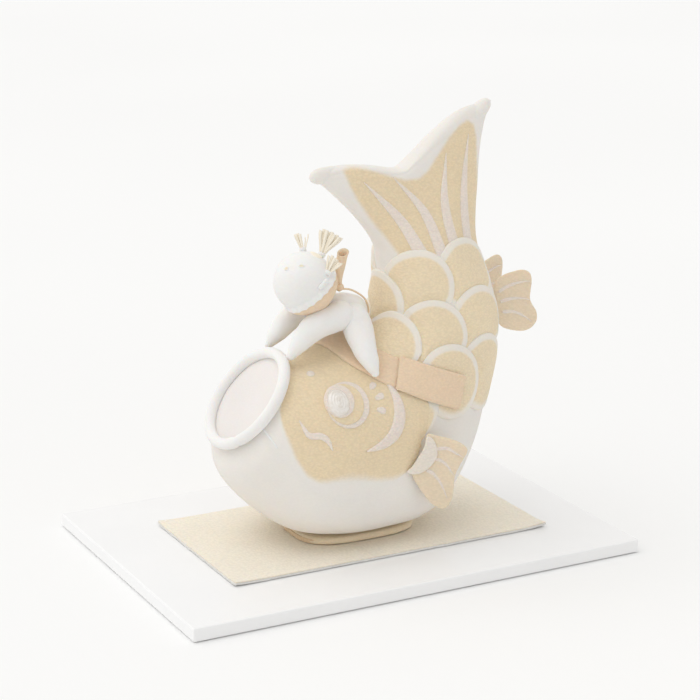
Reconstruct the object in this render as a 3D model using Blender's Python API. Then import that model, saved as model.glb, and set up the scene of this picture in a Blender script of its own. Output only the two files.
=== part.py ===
"""A padded crepe carp ornament with a child doll riding on its head, on a plinth, a mat and a display plate.

Lengths are in millimetres and become metres in put_mesh. +X runs from the carp's mouth to its back, -Y is the
side that faces the room, +Z is up, and the origin is the middle of the display plate's underside.
"""
import math

import bmesh
import bpy
from mathutils import Matrix, Vector
from mathutils.bvhtree import BVHTree

MM = 0.001
GAP = 0.4                      # clearance between two pieces that touch

# Display set
PLATE = (300.0, 210.0, 8.3)    # white acrylic plate: length, depth, thickness
PLATE_EDGE = 1.0
MAT = (214.0, 116.0)
MAT_CENTRE = (3.7, -1.7)
MAT_CARD_THICK = 1.2
MAT_CLOTH_THICK = 0.5
MAT_LAYER_GAP = 0.3
PLINTH_CENTRE = (-1.3, -4.3)
PLINTH_HALF = (40.0, 29.5)
PLINTH_SQUARENESS = 3.2
PLINTH_BOARD_THICK = 2.6
PLINTH_CLOTH_THICK = 0.9
PLINTH_LIP = 0.8                # how much its upper edge is rounded off
DOWEL_RADIUS = 4.0
DOWEL_LENGTH = 24.0
DOWEL_OPENING = 5.0            # how far below the board the hole's cutter starts

# Carp: stations from the mouth to the end of the tail, in the carp's own mid plane
MID_Y = -4.0
COVER_THICK = 1.5
STATIONS = [
    # dorsal x, z    ventral x, z   half width  belly squareness
    ((-46.8, 124.3), (-84.6, 78.0), 30.4, 2.0),
    ((-40.5, 122.0), (-86.6, 60.5), 37.4, 2.1),
    ((-30.5, 123.0), (-73.6, 41.0), 44.2, 2.4),
    ((-20.0, 125.0), (-51.5, 23.0), 49.5, 3.25),
    ((-8.0, 128.5), (-22.0, 16.5), 51.5, 3.75),
    ((4.0, 133.0), (8.0, 16.3), 51.5, 4.0),
    ((14.0, 139.0), (38.0, 18.3), 50.0, 3.5),
    ((20.0, 147.0), (63.0, 32.0), 46.0, 2.7),
    ((22.0, 156.0), (83.0, 59.0), 41.0, 2.2),
    ((22.5, 165.0), (93.5, 90.0), 37.0, 2.0),
    ((22.0, 173.0), (101.0, 120.0), 33.0, 2.0),
    ((21.0, 181.0), (100.0, 150.0), 29.0, 2.0),
    ((19.0, 188.0), (92.0, 171.0), 25.0, 2.0),
    ((14.0, 196.0), (88.0, 188.0), 21.0, 2.0),
    ((4.0, 208.0), (88.0, 204.0), 17.0, 2.1),
    ((-7.0, 219.0), (89.5, 222.0), 13.5, 2.2),
    ((-17.0, 228.0), (91.0, 242.0), 10.5, 2.3),
    ((-23.0, 232.5), (94.0, 258.0), 7.8, 2.4),
    ((-25.0, 235.0), (99.0, 271.0), 0.0, 2.4),
]
BACK_SQUARENESS = 2.0
TAIL_START = 12                # station where the end edge of the tail starts to shape the sections
EDGE_POWER = 1.6               # how late it shapes them
SLANT = 1.25                   # an inset is longer within the slanted stations than square to the skin
TAIL_EDGE = [(-25.0, 235.0), (-9.0, 239.5), (12.0, 238.5), (34.0, 235.0), (44.0, 242.0),
             (60.0, 256.5), (78.0, 267.5), (99.0, 271.0)]
CORE_END = 16.8                # the tail beyond this station is cloth and wadding only
RING_STEPS = 28
GIRTH_STEPS = 20
CORE_STEPS = (18, 16)         # the wadding needs fewer faces
CORE_CLEARANCE = 1.9

# Mouth
RING_RADIUS = 31.6             # centre line of the padded ring
RING_TUBE = 3.4
LINING_RADIUS = 27.6
LINING_THICK = 2.2

# Head cover: how far it reaches, as (girth in degrees, first station, last station), ridge to cheek
HEAD_COVER = [(0, 0.25, 4.2), (25, 0.2, 4.9), (40, 0.2, 5.5), (60, 0.2, 6.15), (74, 0.2, 6.5),
              (82, 0.5, 6.25), (88, 1.25, 6.0), (93, 1.7, 5.45), (97, 2.3, 4.8)]
HEAD_COVER_LIFT = 1.1
HEAD_COVER_THICK = 0.9

# Scales: name, centre x, centre z, radius, shift of the seen part toward the tail, scales lying over it
SCALES = [
    ("a", 34.5, 165.0, 23.2, 6.0, "cdf"),
    ("b", 69.0, 169.5, 23.4, 7.0, "ade"),
    ("d", 39.8, 135.4, 23.4, 6.0, "fh"),
    ("e", 75.0, 138.5, 24.6, 8.0, "dg"),
    ("f", 11.5, 130.4, 24.2, 6.0, "h"),
    ("g", 77.0, 108.5, 24.4, 4.0, "dh"),
    ("h", 49.0, 108.5, 23.2, 2.0, ""),
]
RIDGE_SCALE = ("c", 20.0, 150.3, 22.8, 6.0, "df")
SCALE_SPACING = 0.8            # space along the surface between neighbouring scales
SCALE_LIFT = 1.6               # from the cover to a scale's underside
SCALE_RIM = 0.8                # thickness at a scale's edge, and what its padding adds in the middle
SCALE_SWELL = 0.9
SCALE_REACH = 1.6              # the seen part can reach this far past its middle, in radii
RIDGE_SPACING = 1.5            # flank scales end this far from the carp's mid plane
CHEEK_SCALE = [(73, 6.68), (77, 6.85), (81, 6.9), (85, 6.6), (87, 6.25)]    # girth, rear edge of the scale i
CHEEK_SCALE_LIFT = 0.8
CHEEK_SCALE_THICK = 1.05
HEAD_EDGE = ((30.0, 98.0), (0.853, 0.521))     # the head cover's rear edge and the way it faces
EDGE_CLEAR = {"h": 6.0}                        # scales that stay further behind that edge than their spacing

# Face
EYE_DISCS = [
    # name, centre x, centre z, half height, width for its height, lift, rim thickness, extra height in the middle
    ("eye_disc_outer", -22.3, 103.6, 15.6, 0.86, 2.4, 1.2, 0.6),
    ("eye_disc_inner", -27.3, 105.0, 10.6, 0.86, 4.7, 0.9, 0.6),
    ("eye_pearl", -28.4, 104.0, 9.3, 0.70, 6.7, 0.8, 1.8),
]
TRIM_LIFT = 2.4
GILL = [(4.5, 114.5), (8.4, 105.0), (8.2, 94.0), (3.6, 85.0), (-5.0, 79.5), (-15.5, 77.0)]
GILL_HALF = [0.8, 2.6, 3.9, 3.9, 2.6, 0.6]
BARBEL = [(-53.0, 97.5), (-49.0, 89.5), (-42.5, 88.5), (-38.5, 85.5), (-36.5, 80.0)]
BARBEL_HALF = [0.7, 1.7, 2.0, 1.6, 0.6]
TRIM_THICK = 1.1

# Ribbon over the head: seats from the ridge to the end of the near tab
SASH = [(-6.0, 129.0), (-4.0, 126.0), (3.0, 122.0), (13.0, 117.0), (32.0, 109.5), (53.0, 101.5)]
SASH_HALF = 9.7
SASH_LIFT = 4.0
SASH_THICK = 0.9

# Fins: outlines in the fin's own plane, measured out from its root and up
PECTORAL_SPOT = {"near": (19.5, 70.0), "far": (19.5, 70.0)}
PECTORAL_FLARE = 22.0
PECTORAL_ROOM = 4.0            # from the carp to the fin's root
PECTORAL_FIN = [(4.4, 12.6), (10.5, 11.9), (18.4, 9.8), (24.5, 7.1), (28.6, 3.6), (29.0, 1.0), (27.2, -2.6),
                (24.7, -7.2), (22.3, -12.3), (21.2, -18.0), (20.8, -26.3), (18.9, -31.4), (16.5, -34.3),
                (14.1, -35.0), (11.0, -33.7), (7.3, -31.0), (3.0, -25.7), (-0.7, -19.8), (-4.3, -12.6),
                (-2.4, -6.4), (2.4, 1.2)]
PECTORAL_ROOT = [(6.2, 11.8), (8.7, 9.2), (10.4, 4.0), (10.5, -0.6), (8.8, -4.2), (5.2, -8.5), (0.4, -11.2),
                 (-4.5, -11.7), (-7.6, -9.8), (-4.6, -6.6), (-0.6, -0.4), (2.6, 5.6), (4.0, 11.4)]
PECTORAL_ROOT_THICK = 1.3
PELVIC_SPOT = {"near": (99.0, 145.0), "far": (98.0, 148.5)}
PELVIC_FLARE = 18.0
PELVIC_ROOM = 1.0
PELVIC_FIN = [(1.4, 12.4), (4.1, 17.0), (10.4, 19.1), (15.6, 20.0), (19.4, 19.2), (21.8, 16.8), (22.6, 12.4),
              (22.0, 6.6), (21.7, 1.4), (23.2, -2.5), (25.7, -6.6), (26.6, -10.5), (25.9, -14.4), (22.9, -17.9),
              (18.4, -19.6), (13.2, -19.4), (8.0, -18.2), (3.5, -16.0), (1.6, -11.0), (1.2, 0.0)]
FIN_THICK = 1.8

# Child doll
HEAD_CENTRE = (-32.0, -8.0, 172.0)
HEAD_RADIUS = 18.4
NECK_WAY = (0.65, 0.1, -0.75)      # from the head's centre to the chest
TORSO = [(-12.5, 149.5, 9.4), (-5.5, 151.0, 10.2), (2.0, 149.0, 10.2)]     # x, z, radius along the back
ARM = [(-12.0, 150.6, 12.5, 9.2), (-18.5, 149.6, 13.8, 8.6), (-27.8, 147.6, 15.0, 8.3), (-34.4, 143.0, 14.0, 7.4),
       (-40.6, 136.2, 13.0, 5.6), (-45.2, 129.9, 12.4, 2.8)]               # x, z, y from the mid plane, radius
FAR_ARM_SPREAD = 5.0           # how much further out the far arm's hand reaches
LEG = [(-3.0, 148.3, 13.5, 9.0), (-2.8, 143.6, 17.5, 9.2), (-4.3, 138.8, 24.8, 8.4), (-5.4, 131.8, 33.5, 6.8),
       (-4.5, 125.9, 38.8, 4.8), (-3.2, 121.0, 40.6, 2.6)]
LIMB_SIDES = 12
LEG_GAP = 1.3                  # the legs bend sharply at the hip, where they need more room than GAP
LIMB_STEPS = 7
TORSO_SIDES = 16
NECK_PEG_RADIUS = 2.5
BIB_LIFT = 0.7
BIB_THICK = 0.8
BIB_ANGLES = (14, 30, 46, 60)
BOW_KNOT = (-8.0, -8.0, 166.5)
BOW_TOP = (-5.5, -8.0, 187.0)
BOW_WIDE = 6.5
BOW_BAND = 5.5
BACK_CORD = [(-6.0, -7.0, 164.4), (0.0, -6.0, 163.2), (5.5, -6.0, 160.3), (10.3, -6.0, 156.2), (12.9, -5.5, 151.0),
             (13.3, -5.5, 147.0)]
CORD_RADIUS = 0.6
TUFTS = [
    # name, foot, middle of the fan's end, half width of the fan
    ("hair_tuft_left", (-29.9, -3.6, 189.2), (-30.9, 0.2, 200.2), 4.4),
    ("hair_tuft_crown", (-21.4, -9.3, 186.4), (-13.6, -9.0, 200.6), 6.4),
    ("hair_tuft_side", (-24.3, -22.6, 178.6), (-18.2, -22.9, 188.2), 4.2),
]
TUFT_FOOT = 2.0                # radius of a tuft's bound foot
TUFT_FACING = (-0.447, -0.852, 0.273)      # the side that the fans spread flat toward


# ---------------------------------------------------------------- scene, materials, meshes

def clear_scene():
    for item in list(bpy.data.objects):
        bpy.data.objects.remove(item, do_unlink=True)
    for group in list(bpy.data.collections):
        bpy.data.collections.remove(group)


def new_collection(name):
    group = bpy.data.collections.new(name)
    bpy.context.scene.collection.children.link(group)
    return group


def material(name, colour, roughness, metallic=0.0):
    made = bpy.data.materials.get(name)
    if made:
        return made
    made = bpy.data.materials.new(name)
    made.use_nodes = True
    shader = made.node_tree.nodes["Principled BSDF"]
    shader.inputs["Base Color"].default_value = (*colour, 1.0)
    shader.inputs["Roughness"].default_value = roughness
    shader.inputs["Metallic"].default_value = metallic
    return made


def put_mesh(name, shell, paint, group):
    """Turn a bmesh drawn in millimetres into an object in metres, with its faces pointing outward."""
    bmesh.ops.remove_doubles(shell, verts=shell.verts, dist=0.01)
    bmesh.ops.recalc_face_normals(shell, faces=shell.faces)
    if shell.calc_volume(signed=True) < 0:
        bmesh.ops.reverse_faces(shell, faces=shell.faces)
    bmesh.ops.scale(shell, vec=(MM, MM, MM), verts=shell.verts)
    mesh = bpy.data.meshes.new(name)
    shell.to_mesh(mesh)
    shell.free()
    mesh.materials.append(paint)
    mesh.shade_smooth()
    mesh.set_sharp_from_angle(angle=math.radians(40))
    made = bpy.data.objects.new(name, mesh)
    group.objects.link(made)
    return made


# ---------------------------------------------------------------- the carp's shape

def catmull(points, place):
    """A smooth curve through the points, where place counts points from 0."""
    last = len(points) - 1
    place = min(max(place, 0.0), last)
    i = min(int(place), last - 1)
    f = place - i
    p1, p2 = points[i], points[i + 1]
    p0 = points[i - 1] if i else p1 * 2 - p2
    p3 = points[i + 2] if i + 2 <= last else p2 * 2 - p1
    return (p1 * 2 + (p2 - p0) * f + (p0 * 2 - p1 * 5 + p2 * 4 - p3) * f * f
            + (p1 * 3 - p0 - p2 * 3 + p3) * f ** 3) * 0.5


DORSAL = [Vector(row[0]) for row in STATIONS]
VENTRAL = [Vector(row[1]) for row in STATIONS]
WIDTHS = [Vector((row[2], row[3])) for row in STATIONS]
EDGE = [Vector(point) for point in TAIL_EDGE]
LAST = len(STATIONS) - 1


def carp_point(place, girth, inset=0.0):
    """A point on the carp: place runs along the stations, girth 0 is the back and pi the belly line."""
    back, belly = catmull(DORSAL, place), catmull(VENTRAL, place)
    half, square = catmull(WIDTHS, place)
    if place > LAST - 1:
        half = WIDTHS[LAST - 1].x * math.sqrt(max(0.0, 1 - (place - LAST + 1) ** 2))
    inward = (belly - back).normalized() * inset * SLANT
    back, belly, half = back + inward, belly - inward, half - inset
    cos, sin = math.cos(girth), math.sin(girth)
    square = BACK_SQUARENESS if cos > 0 else square
    across = 0.5 - 0.5 * math.copysign(abs(cos) ** (2 / square), cos)
    side = math.copysign(abs(sin) ** (2 / square), sin) * half
    middle = back.lerp(belly, across)
    bend = max(0.0, (place - TAIL_START) / (LAST - TAIL_START)) ** EDGE_POWER
    straight = EDGE[0].lerp(EDGE[-1], across)
    middle += (catmull(EDGE, across * (len(EDGE) - 1)) - straight) * bend
    return Vector((middle.x, MID_Y + side, middle.y))


def carp_normal(place, girth):
    step = 0.02
    along = carp_point(min(place + step, LAST - 0.3), girth) - carp_point(max(place - step, 0.0), girth)
    round_ = carp_point(place, girth + step) - carp_point(place, girth - step)
    return along.cross(round_).normalized()


def carp_rings(first, last, steps, girth_steps, inset=0.0):
    """Rings of points round the carp, evenly spaced between two stations."""
    rings = []
    for i in range(steps + 1):
        place = first + (last - first) * i / steps
        rings.append([carp_point(place, 2 * math.pi * j / girth_steps, inset) for j in range(girth_steps)])
    return rings


def skin_rings(shell, rings, ends=(False, False)):
    """Join rings of points into a tube, with flat ends where asked."""
    rows = [[shell.verts.new(point) for point in ring] for ring in rings]
    count = len(rows[0])
    for a, b in zip(rows, rows[1:]):
        for j in range(count):
            k = (j + 1) % count
            shell.faces.new((a[j], b[j], b[k], a[k]))
    for wanted, row in zip(ends, (rows[0], rows[-1])):
        if wanted:
            close_ring(shell, row)
    return rows


def close_ring(shell, row):
    """Close a ring whose two halves mirror each other, with a ladder of faces between the halves."""
    count = len(row)
    for j in range(count // 2):
        rung = [row[j], row[j + 1], row[count - j - 1], row[(count - j) % count]]
        corners = list(dict.fromkeys(rung))
        shell.faces.new(corners)


class Seat:
    """The carp's surface, to lay pieces on."""

    def __init__(self):
        shell = bmesh.new()
        skin_rings(shell, carp_rings(0, LAST, 120, 96), (True, False))
        shell.normal_update()
        self.tree = BVHTree.FromBMesh(shell)
        shell.free()

    def under(self, x, z, side):
        """The point of the carp's flank at x, z: side -1 is the near flank and +1 the far one."""
        start = Vector((x, MID_Y + side * 200, z))
        point, normal, _, _ = self.tree.ray_cast(start, Vector((0, -side, 0)))
        if point is None:
            point, normal, _, _ = self.tree.find_nearest(Vector((x, MID_Y, z)))
        return point, normal

    def settle(self, point):
        point, normal, _, _ = self.tree.find_nearest(point)
        return point, normal


def plate_solid(shell, lower, upper):
    """A thin solid from two matching grids of points, rows by columns."""
    rows, columns = len(lower), len(lower[0])
    down = [[shell.verts.new(point) for point in row] for row in lower]
    top = [[shell.verts.new(point) for point in row] for row in upper]
    for i in range(rows - 1):
        for j in range(columns - 1):
            shell.faces.new((down[i][j], down[i][j + 1], down[i + 1][j + 1], down[i + 1][j]))
            shell.faces.new((top[i][j], top[i + 1][j], top[i + 1][j + 1], top[i][j + 1]))
    rim = ([(0, j) for j in range(columns)] + [(i, columns - 1) for i in range(1, rows)]
           + [(rows - 1, j) for j in range(columns - 2, -1, -1)] + [(i, 0) for i in range(rows - 2, 0, -1)])
    for (i, j), (k, m) in zip(rim, rim[1:] + rim[:1]):
        shell.faces.new((down[i][j], down[k][m], top[k][m], top[i][j]))


def fan_solid(shell, centre, rings):
    """A thin solid from a centre pair and rings of (lower, upper) points, closed by a rim."""
    count = len(rings[0])
    low_centre, top_centre = shell.verts.new(centre[0]), shell.verts.new(centre[1])
    low = [[shell.verts.new(pair[0]) for pair in ring] for ring in rings]
    top = [[shell.verts.new(pair[1]) for pair in ring] for ring in rings]
    for j in range(count):
        k = (j + 1) % count
        shell.faces.new((low_centre, low[0][j], low[0][k]))
        shell.faces.new((top_centre, top[0][k], top[0][j]))
        for i in range(len(rings) - 1):
            shell.faces.new((low[i][j], low[i + 1][j], low[i + 1][k], low[i][k]))
            shell.faces.new((top[i][j], top[i][k], top[i + 1][k], top[i + 1][j]))
        shell.faces.new((low[-1][j], top[-1][j], top[-1][k], low[-1][k]))


# ---------------------------------------------------------------- display set

def rounded_box(name, size, centre, bottom, edge, paint, group):
    shell = bmesh.new()
    bmesh.ops.create_cube(shell, size=1.0)
    bmesh.ops.scale(shell, vec=size, verts=shell.verts)
    bmesh.ops.translate(shell, vec=(centre[0], centre[1], bottom + size[2] / 2), verts=shell.verts)
    if edge:
        bmesh.ops.bevel(shell, geom=shell.edges[:], offset=edge, segments=2, profile=0.5, affect="EDGES")
    return put_mesh(name, shell, paint, group)


def oval_ring(half, height, steps=40):
    """A squarish oval outline round the plinth's centre."""
    ring = []
    for j in range(steps):
        angle = 2 * math.pi * j / steps
        cos, sin = math.cos(angle), math.sin(angle)
        x = math.copysign(abs(cos) ** (2 / PLINTH_SQUARENESS), cos) * half[0]
        y = math.copysign(abs(sin) ** (2 / PLINTH_SQUARENESS), sin) * half[1]
        ring.append(Vector((PLINTH_CENTRE[0] + x, PLINTH_CENTRE[1] + y, height)))
    return ring


def cut_round_hole(target, centre, radius, low, high, cutters, way=Vector((0, 0, 1))):
    """Cut a round hole whose cutter stays in the cutters' collection."""
    shell = bmesh.new()
    bmesh.ops.create_cone(shell, cap_ends=True, segments=20, radius1=radius, radius2=radius, depth=high - low)
    turn = Vector((0, 0, 1)).rotation_difference(way).to_matrix().to_4x4()
    middle = Vector(centre) + way * (low + high) / 2
    bmesh.ops.transform(shell, matrix=Matrix.Translation(middle) @ turn, verts=shell.verts)
    cutter = put_mesh(target.name + "_hole", shell, target.data.materials[0], cutters)
    hide_cutter(cutter)
    subtract(target, cutter)


def hide_cutter(cutter):
    cutter.hide_render = True
    cutter.display_type = "WIRE"


def subtract(target, cutter):
    cut = target.modifiers.new("cut", "BOOLEAN")
    cut.operation = "DIFFERENCE"
    cut.solver = "EXACT"
    cut.use_self = True
    cut.object = cutter


def build_display_set(group, cutters, paints):
    rounded_box("display_plate", PLATE, (0, 0), 0.0, PLATE_EDGE, paints["acrylic"], group)
    level = PLATE[2] + GAP
    rounded_box("mat_card", (*MAT, MAT_CARD_THICK), MAT_CENTRE, level, 0.0, paints["card"], group)
    level += MAT_CARD_THICK + MAT_LAYER_GAP
    rounded_box("mat_cloth", (*MAT, MAT_CLOTH_THICK), MAT_CENTRE, level, 0.0, paints["mat_crepe"], group)
    level += MAT_CLOTH_THICK + GAP
    floor = level

    shell = bmesh.new()
    inner = (PLINTH_HALF[0] - PLINTH_CLOTH_THICK - GAP, PLINTH_HALF[1] - PLINTH_CLOTH_THICK - GAP)
    board_top = floor + PLINTH_BOARD_THICK
    skin_rings(shell, [oval_ring(inner, floor), oval_ring(inner, board_top)], (True, True))
    board = put_mesh("plinth_board", shell, paints["wood"], group)

    shell = bmesh.new()
    cloth_top = board_top + GAP + PLINTH_CLOTH_THICK
    gap_half = (inner[0] + GAP, inner[1] + GAP)
    crown = (PLINTH_HALF[0] - PLINTH_LIP, PLINTH_HALF[1] - PLINTH_LIP)
    wrap = [oval_ring(gap_half, board_top + GAP), oval_ring(gap_half, floor), oval_ring(PLINTH_HALF, floor),
            oval_ring(PLINTH_HALF, cloth_top - PLINTH_LIP), oval_ring(crown, cloth_top)]
    skin_rings(shell, wrap, (True, True))
    cloth = put_mesh("plinth_cloth", shell, paints["mat_crepe"], group)

    foot = (PLINTH_CENTRE[0], PLINTH_CENTRE[1], floor)
    shell = bmesh.new()
    bmesh.ops.create_cone(shell, cap_ends=True, segments=20, radius1=DOWEL_RADIUS, radius2=DOWEL_RADIUS,
                          depth=DOWEL_LENGTH)
    bmesh.ops.translate(shell, vec=(foot[0], foot[1], floor + DOWEL_LENGTH / 2), verts=shell.verts)
    put_mesh("fixing_dowel", shell, paints["wood"], group)
    for target in (board, cloth, bpy.data.objects["carp_cover"], bpy.data.objects["carp_core"]):
        cut_round_hole(target, foot, DOWEL_RADIUS + GAP, -DOWEL_OPENING, DOWEL_LENGTH + GAP, cutters)


# ---------------------------------------------------------------- carp

def build_body(group, paints):
    shell = bmesh.new()
    outer = skin_rings(shell, carp_rings(0, LAST, RING_STEPS, GIRTH_STEPS))
    inner = skin_rings(shell, carp_rings(0, CORE_END + 0.2, RING_STEPS - 2, GIRTH_STEPS, COVER_THICK), (False, True))
    for j in range(GIRTH_STEPS):
        k = (j + 1) % GIRTH_STEPS
        shell.faces.new((outer[0][j], outer[0][k], inner[0][k], inner[0][j]))
    put_mesh("carp_cover", shell, paints["crepe"], group)

    shell = bmesh.new()
    rings = carp_rings(0.08, CORE_END, *CORE_STEPS, COVER_THICK + CORE_CLEARANCE)
    skin_rings(shell, rings, (True, True))
    put_mesh("carp_core", shell, paints["foam"], group)


def mouth_frame():
    """The middle of the mouth's opening, the way it faces, and its up direction."""
    top, bottom = DORSAL[0], VENTRAL[0]
    middle = (top + bottom) / 2
    rise = (top - bottom).normalized()
    up = Vector((rise.x, 0, rise.y))
    out = Vector((-rise.y, 0, rise.x))
    return Vector((middle.x, MID_Y, middle.y)), out, up


def build_mouth(group, paints):
    middle, out, up = mouth_frame()
    across = Vector((0, 1, 0))
    centre = middle + out * (RING_TUBE + GAP)
    shell = bmesh.new()
    rings = []
    for i in range(28):
        angle = 2 * math.pi * i / 28
        spoke = up * math.cos(angle) + across * math.sin(angle)
        rings.append([centre + spoke * (RING_RADIUS + RING_TUBE * math.cos(turn))
                      + out * RING_TUBE * math.sin(turn) for turn in (2 * math.pi * k / 8 for k in range(8))])
    skin_rings(shell, rings + rings[:1])
    put_mesh("mouth_ring", shell, paints["crepe"], group)

    shell = bmesh.new()
    low = middle + out * GAP
    rings = []
    for share in (0.5, 1.0):
        ring = []
        for i in range(28):
            angle = 2 * math.pi * i / 28
            spoke = (up * math.cos(angle) + across * math.sin(angle)) * LINING_RADIUS * share
            swell = LINING_THICK * (1.25 - 0.45 * share ** 2)
            ring.append((low + spoke, low + spoke + out * swell))
        rings.append(ring)
    fan_solid(shell, (low, low + out * LINING_THICK * 1.25), rings)
    put_mesh("mouth_lining", shell, paints["lining"], group)


def table_at(rows, degrees):
    """Smooth values from a table whose first column is an angle in degrees."""
    i = 0
    while i < len(rows) - 2 and degrees > rows[i + 1][0]:
        i += 1
    low, high = rows[i][0], rows[i + 1][0]
    values = [Vector(row[1:] if len(row) > 2 else (row[1], 0)) for row in rows]
    return catmull(values, i + (degrees - low) / (high - low))


def head_cover_span(girth):
    """First and last station of the head cover at a girth."""
    return table_at(HEAD_COVER, min(abs(math.degrees(girth)), HEAD_COVER[-1][0]))


def station_patch(name, girths, span, columns, lift, thick, paint, group):
    """A thin piece on the carp between two stations that depend on the girth."""
    lower, upper = [], []
    for girth in girths:
        first, last = span(girth)
        low_row, top_row = [], []
        for j in range(columns + 1):
            place = first + (last - first) * j / columns
            point, normal = carp_point(place, girth), carp_normal(place, girth)
            low_row.append(point + normal * lift)
            top_row.append(point + normal * (lift + thick))
        lower.append(low_row)
        upper.append(top_row)
    shell = bmesh.new()
    plate_solid(shell, lower, upper)
    return put_mesh(name, shell, paint, group)


def build_head_cover(group, paints):
    reach = math.radians(HEAD_COVER[-1][0])
    rows = 20
    girths = [-reach + 2 * reach * i / rows for i in range(rows + 1)]
    station_patch("head_cover", girths, head_cover_span, 10, HEAD_COVER_LIFT, HEAD_COVER_THICK,
                  paints["face_crepe"], group)


def build_cheek_scales(group, paints):
    """The lowest scale of each flank: only a crescent shows behind the head cover."""
    start, end = math.radians(CHEEK_SCALE[0][0]), math.radians(CHEEK_SCALE[-1][0])

    def span(girth):
        rear = table_at(CHEEK_SCALE, abs(math.degrees(girth))).x
        return head_cover_span(girth).y + 0.05, rear

    for side, hand in ((-1, "near"), (1, "far")):
        girths = [side * (start + (end - start) * i / 8) for i in range(9)]
        station_patch(f"scale_i_{hand}", girths, span, 2, CHEEK_SCALE_LIFT, CHEEK_SCALE_THICK, paints["crepe"], group)


def disc_on(seat, name, start, reach, lift, rim, swell, paint, group, spokes=20, rings=2):
    """A padded disc that follows the surface: reach(way) tells how far it goes along a direction."""
    point, normal = start
    away = Vector((0, 0, 1)).cross(normal).normalized()
    up = normal.cross(away)

    def layer(way, share):
        far = reach(way)
        spot, facing = seat.settle(point + way * far * share)
        thick = rim + swell * (1 - share ** 2)
        return spot + facing * lift, spot + facing * (lift + thick)

    rows = []
    for i in range(1, rings + 1):
        share = i / rings
        row = []
        for j in range(spokes):
            angle = 2 * math.pi * j / spokes
            row.append(layer(away * math.cos(angle) + up * math.sin(angle), share))
        rows.append(row)
    shell = bmesh.new()
    fan_solid(shell, (point + normal * lift, point + normal * (lift + rim + swell)), rows)
    return put_mesh(name, shell, paint, group)


def build_scales(seat, group, paints):
    """Overlapping scales: each shows only where no scale nearer the head lies over it."""
    edge, facing = HEAD_EDGE
    for side, hand in ((-1, "near"), (1, "far")):
        centres = {row[0]: (seat.under(row[1], row[2], side)[0], row[3]) for row in SCALES}
        ridge = Vector((RIDGE_SCALE[1], MID_Y, RIDGE_SCALE[2]))
        centres["c"] = (seat.settle(ridge)[0], RIDGE_SCALE[3])
        for name, x, z, radius, shift, over in SCALES:
            own = centres[name][0]
            clear = EDGE_CLEAR.get(name, SCALE_SPACING)
            toward = seat.under(x + shift * 0.3, z + shift, side)

            def outside(spot):
                if (spot - own).length > radius or abs(spot.y - MID_Y) < RIDGE_SPACING:
                    return True
                if (spot.x - edge[0]) * facing[0] + (spot.z - edge[1]) * facing[1] < clear:
                    return True
                return any((spot - centres[other][0]).length < centres[other][1] + SCALE_SPACING for other in over)

            def reach(way):
                return march(seat, toward[0], way, outside, radius * SCALE_REACH)

            disc_on(seat, f"scale_{name}_{hand}", toward, reach, SCALE_LIFT, SCALE_RIM,
                    SCALE_SWELL, paints["scale_crepe"], group, 18, 3)
    build_ridge_scale(seat, group, paints)


def march(seat, start, way, outside, limit):
    """How far one can go from start along a direction before a test says stop."""
    low, high = 0.0, limit
    steps = 14
    for i in range(1, steps + 1):
        far = limit * i / steps
        if outside(seat.settle(start + way * far)[0]):
            high = far
            break
        low = far
    for _ in range(6):
        middle = (low + high) / 2
        if outside(seat.settle(start + way * middle)[0]):
            high = middle
        else:
            low = middle
    return max(low, 0.5)


def build_ridge_scale(seat, group, paints):
    """The scale that bends over the carp's back and reaches down both flanks."""
    _, x, z, radius, shift, over = RIDGE_SCALE
    above = [(seat.under(row[1], row[2], side)[0], row[3]) for row in SCALES if row[0] in over for side in (-1, 1)]
    own = seat.settle(Vector((x, MID_Y, z)))[0]
    toward = seat.settle(Vector((x, MID_Y, z + shift)))

    def outside(spot):
        if (spot - own).length > radius:
            return True
        return any((spot - centre).length < size + SCALE_SPACING for centre, size in above)

    disc_on(seat, "scale_c_back", toward, lambda way: march(seat, toward[0], way, outside, radius * SCALE_REACH),
            SCALE_LIFT, SCALE_RIM, SCALE_SWELL, paints["scale_crepe"], group, 22, 3)


def strip_on(seat, name, line, halves, lift, thick, paint, group, steps=14, columns=2):
    """A strip that follows the surface along a smooth line of seats, with a width that varies."""
    lower, upper = [], []
    last = len(line) - 1
    for i in range(steps + 1):
        place = last * i / steps
        spot = catmull(line, place)
        ahead = catmull(line, place + 0.05) - catmull(line, place - 0.05)
        _, normal = seat.settle(spot)
        across = normal.cross(ahead).normalized()
        half = catmull([Vector((value, 0)) for value in halves], place).x
        low_row, top_row = [], []
        for j in range(columns + 1):
            share = 2 * j / columns - 1
            point, facing = seat.settle(spot + across * half * share)
            low_row.append(point + facing * lift)
            top_row.append(point + facing * (lift + thick))
        lower.append(low_row)
        upper.append(top_row)
    shell = bmesh.new()
    plate_solid(shell, lower, upper)
    return put_mesh(name, shell, paint, group)


def oval(way, tall, width):
    """How far the edge of an upright oval is from its middle along a direction."""
    rise = abs(way.z)
    return tall / math.sqrt((1 - rise * rise) / width ** 2 + rise * rise)


def build_face(seat, group, paints):
    looks = {"eye_disc_outer": "face_crepe", "eye_disc_inner": "crepe", "eye_pearl": "pearl"}
    for side, hand in ((-1, "near"), (1, "far")):
        for name, x, z, tall, width, lift, rim, swell in EYE_DISCS:
            disc_on(seat, f"{name}_{hand}", seat.under(x, z, side), lambda way: oval(way, tall, width),
                    lift, rim, swell, paints[looks[name]], group)
        for name, line, halves in (("gill_crescent", GILL, GILL_HALF), ("barbel", BARBEL, BARBEL_HALF)):
            seats = [seat.under(x, z, side)[0] for x, z in line]
            strip_on(seat, f"{name}_{hand}", seats, halves, TRIM_LIFT, TRIM_THICK, paints["crepe"], group)


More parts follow.
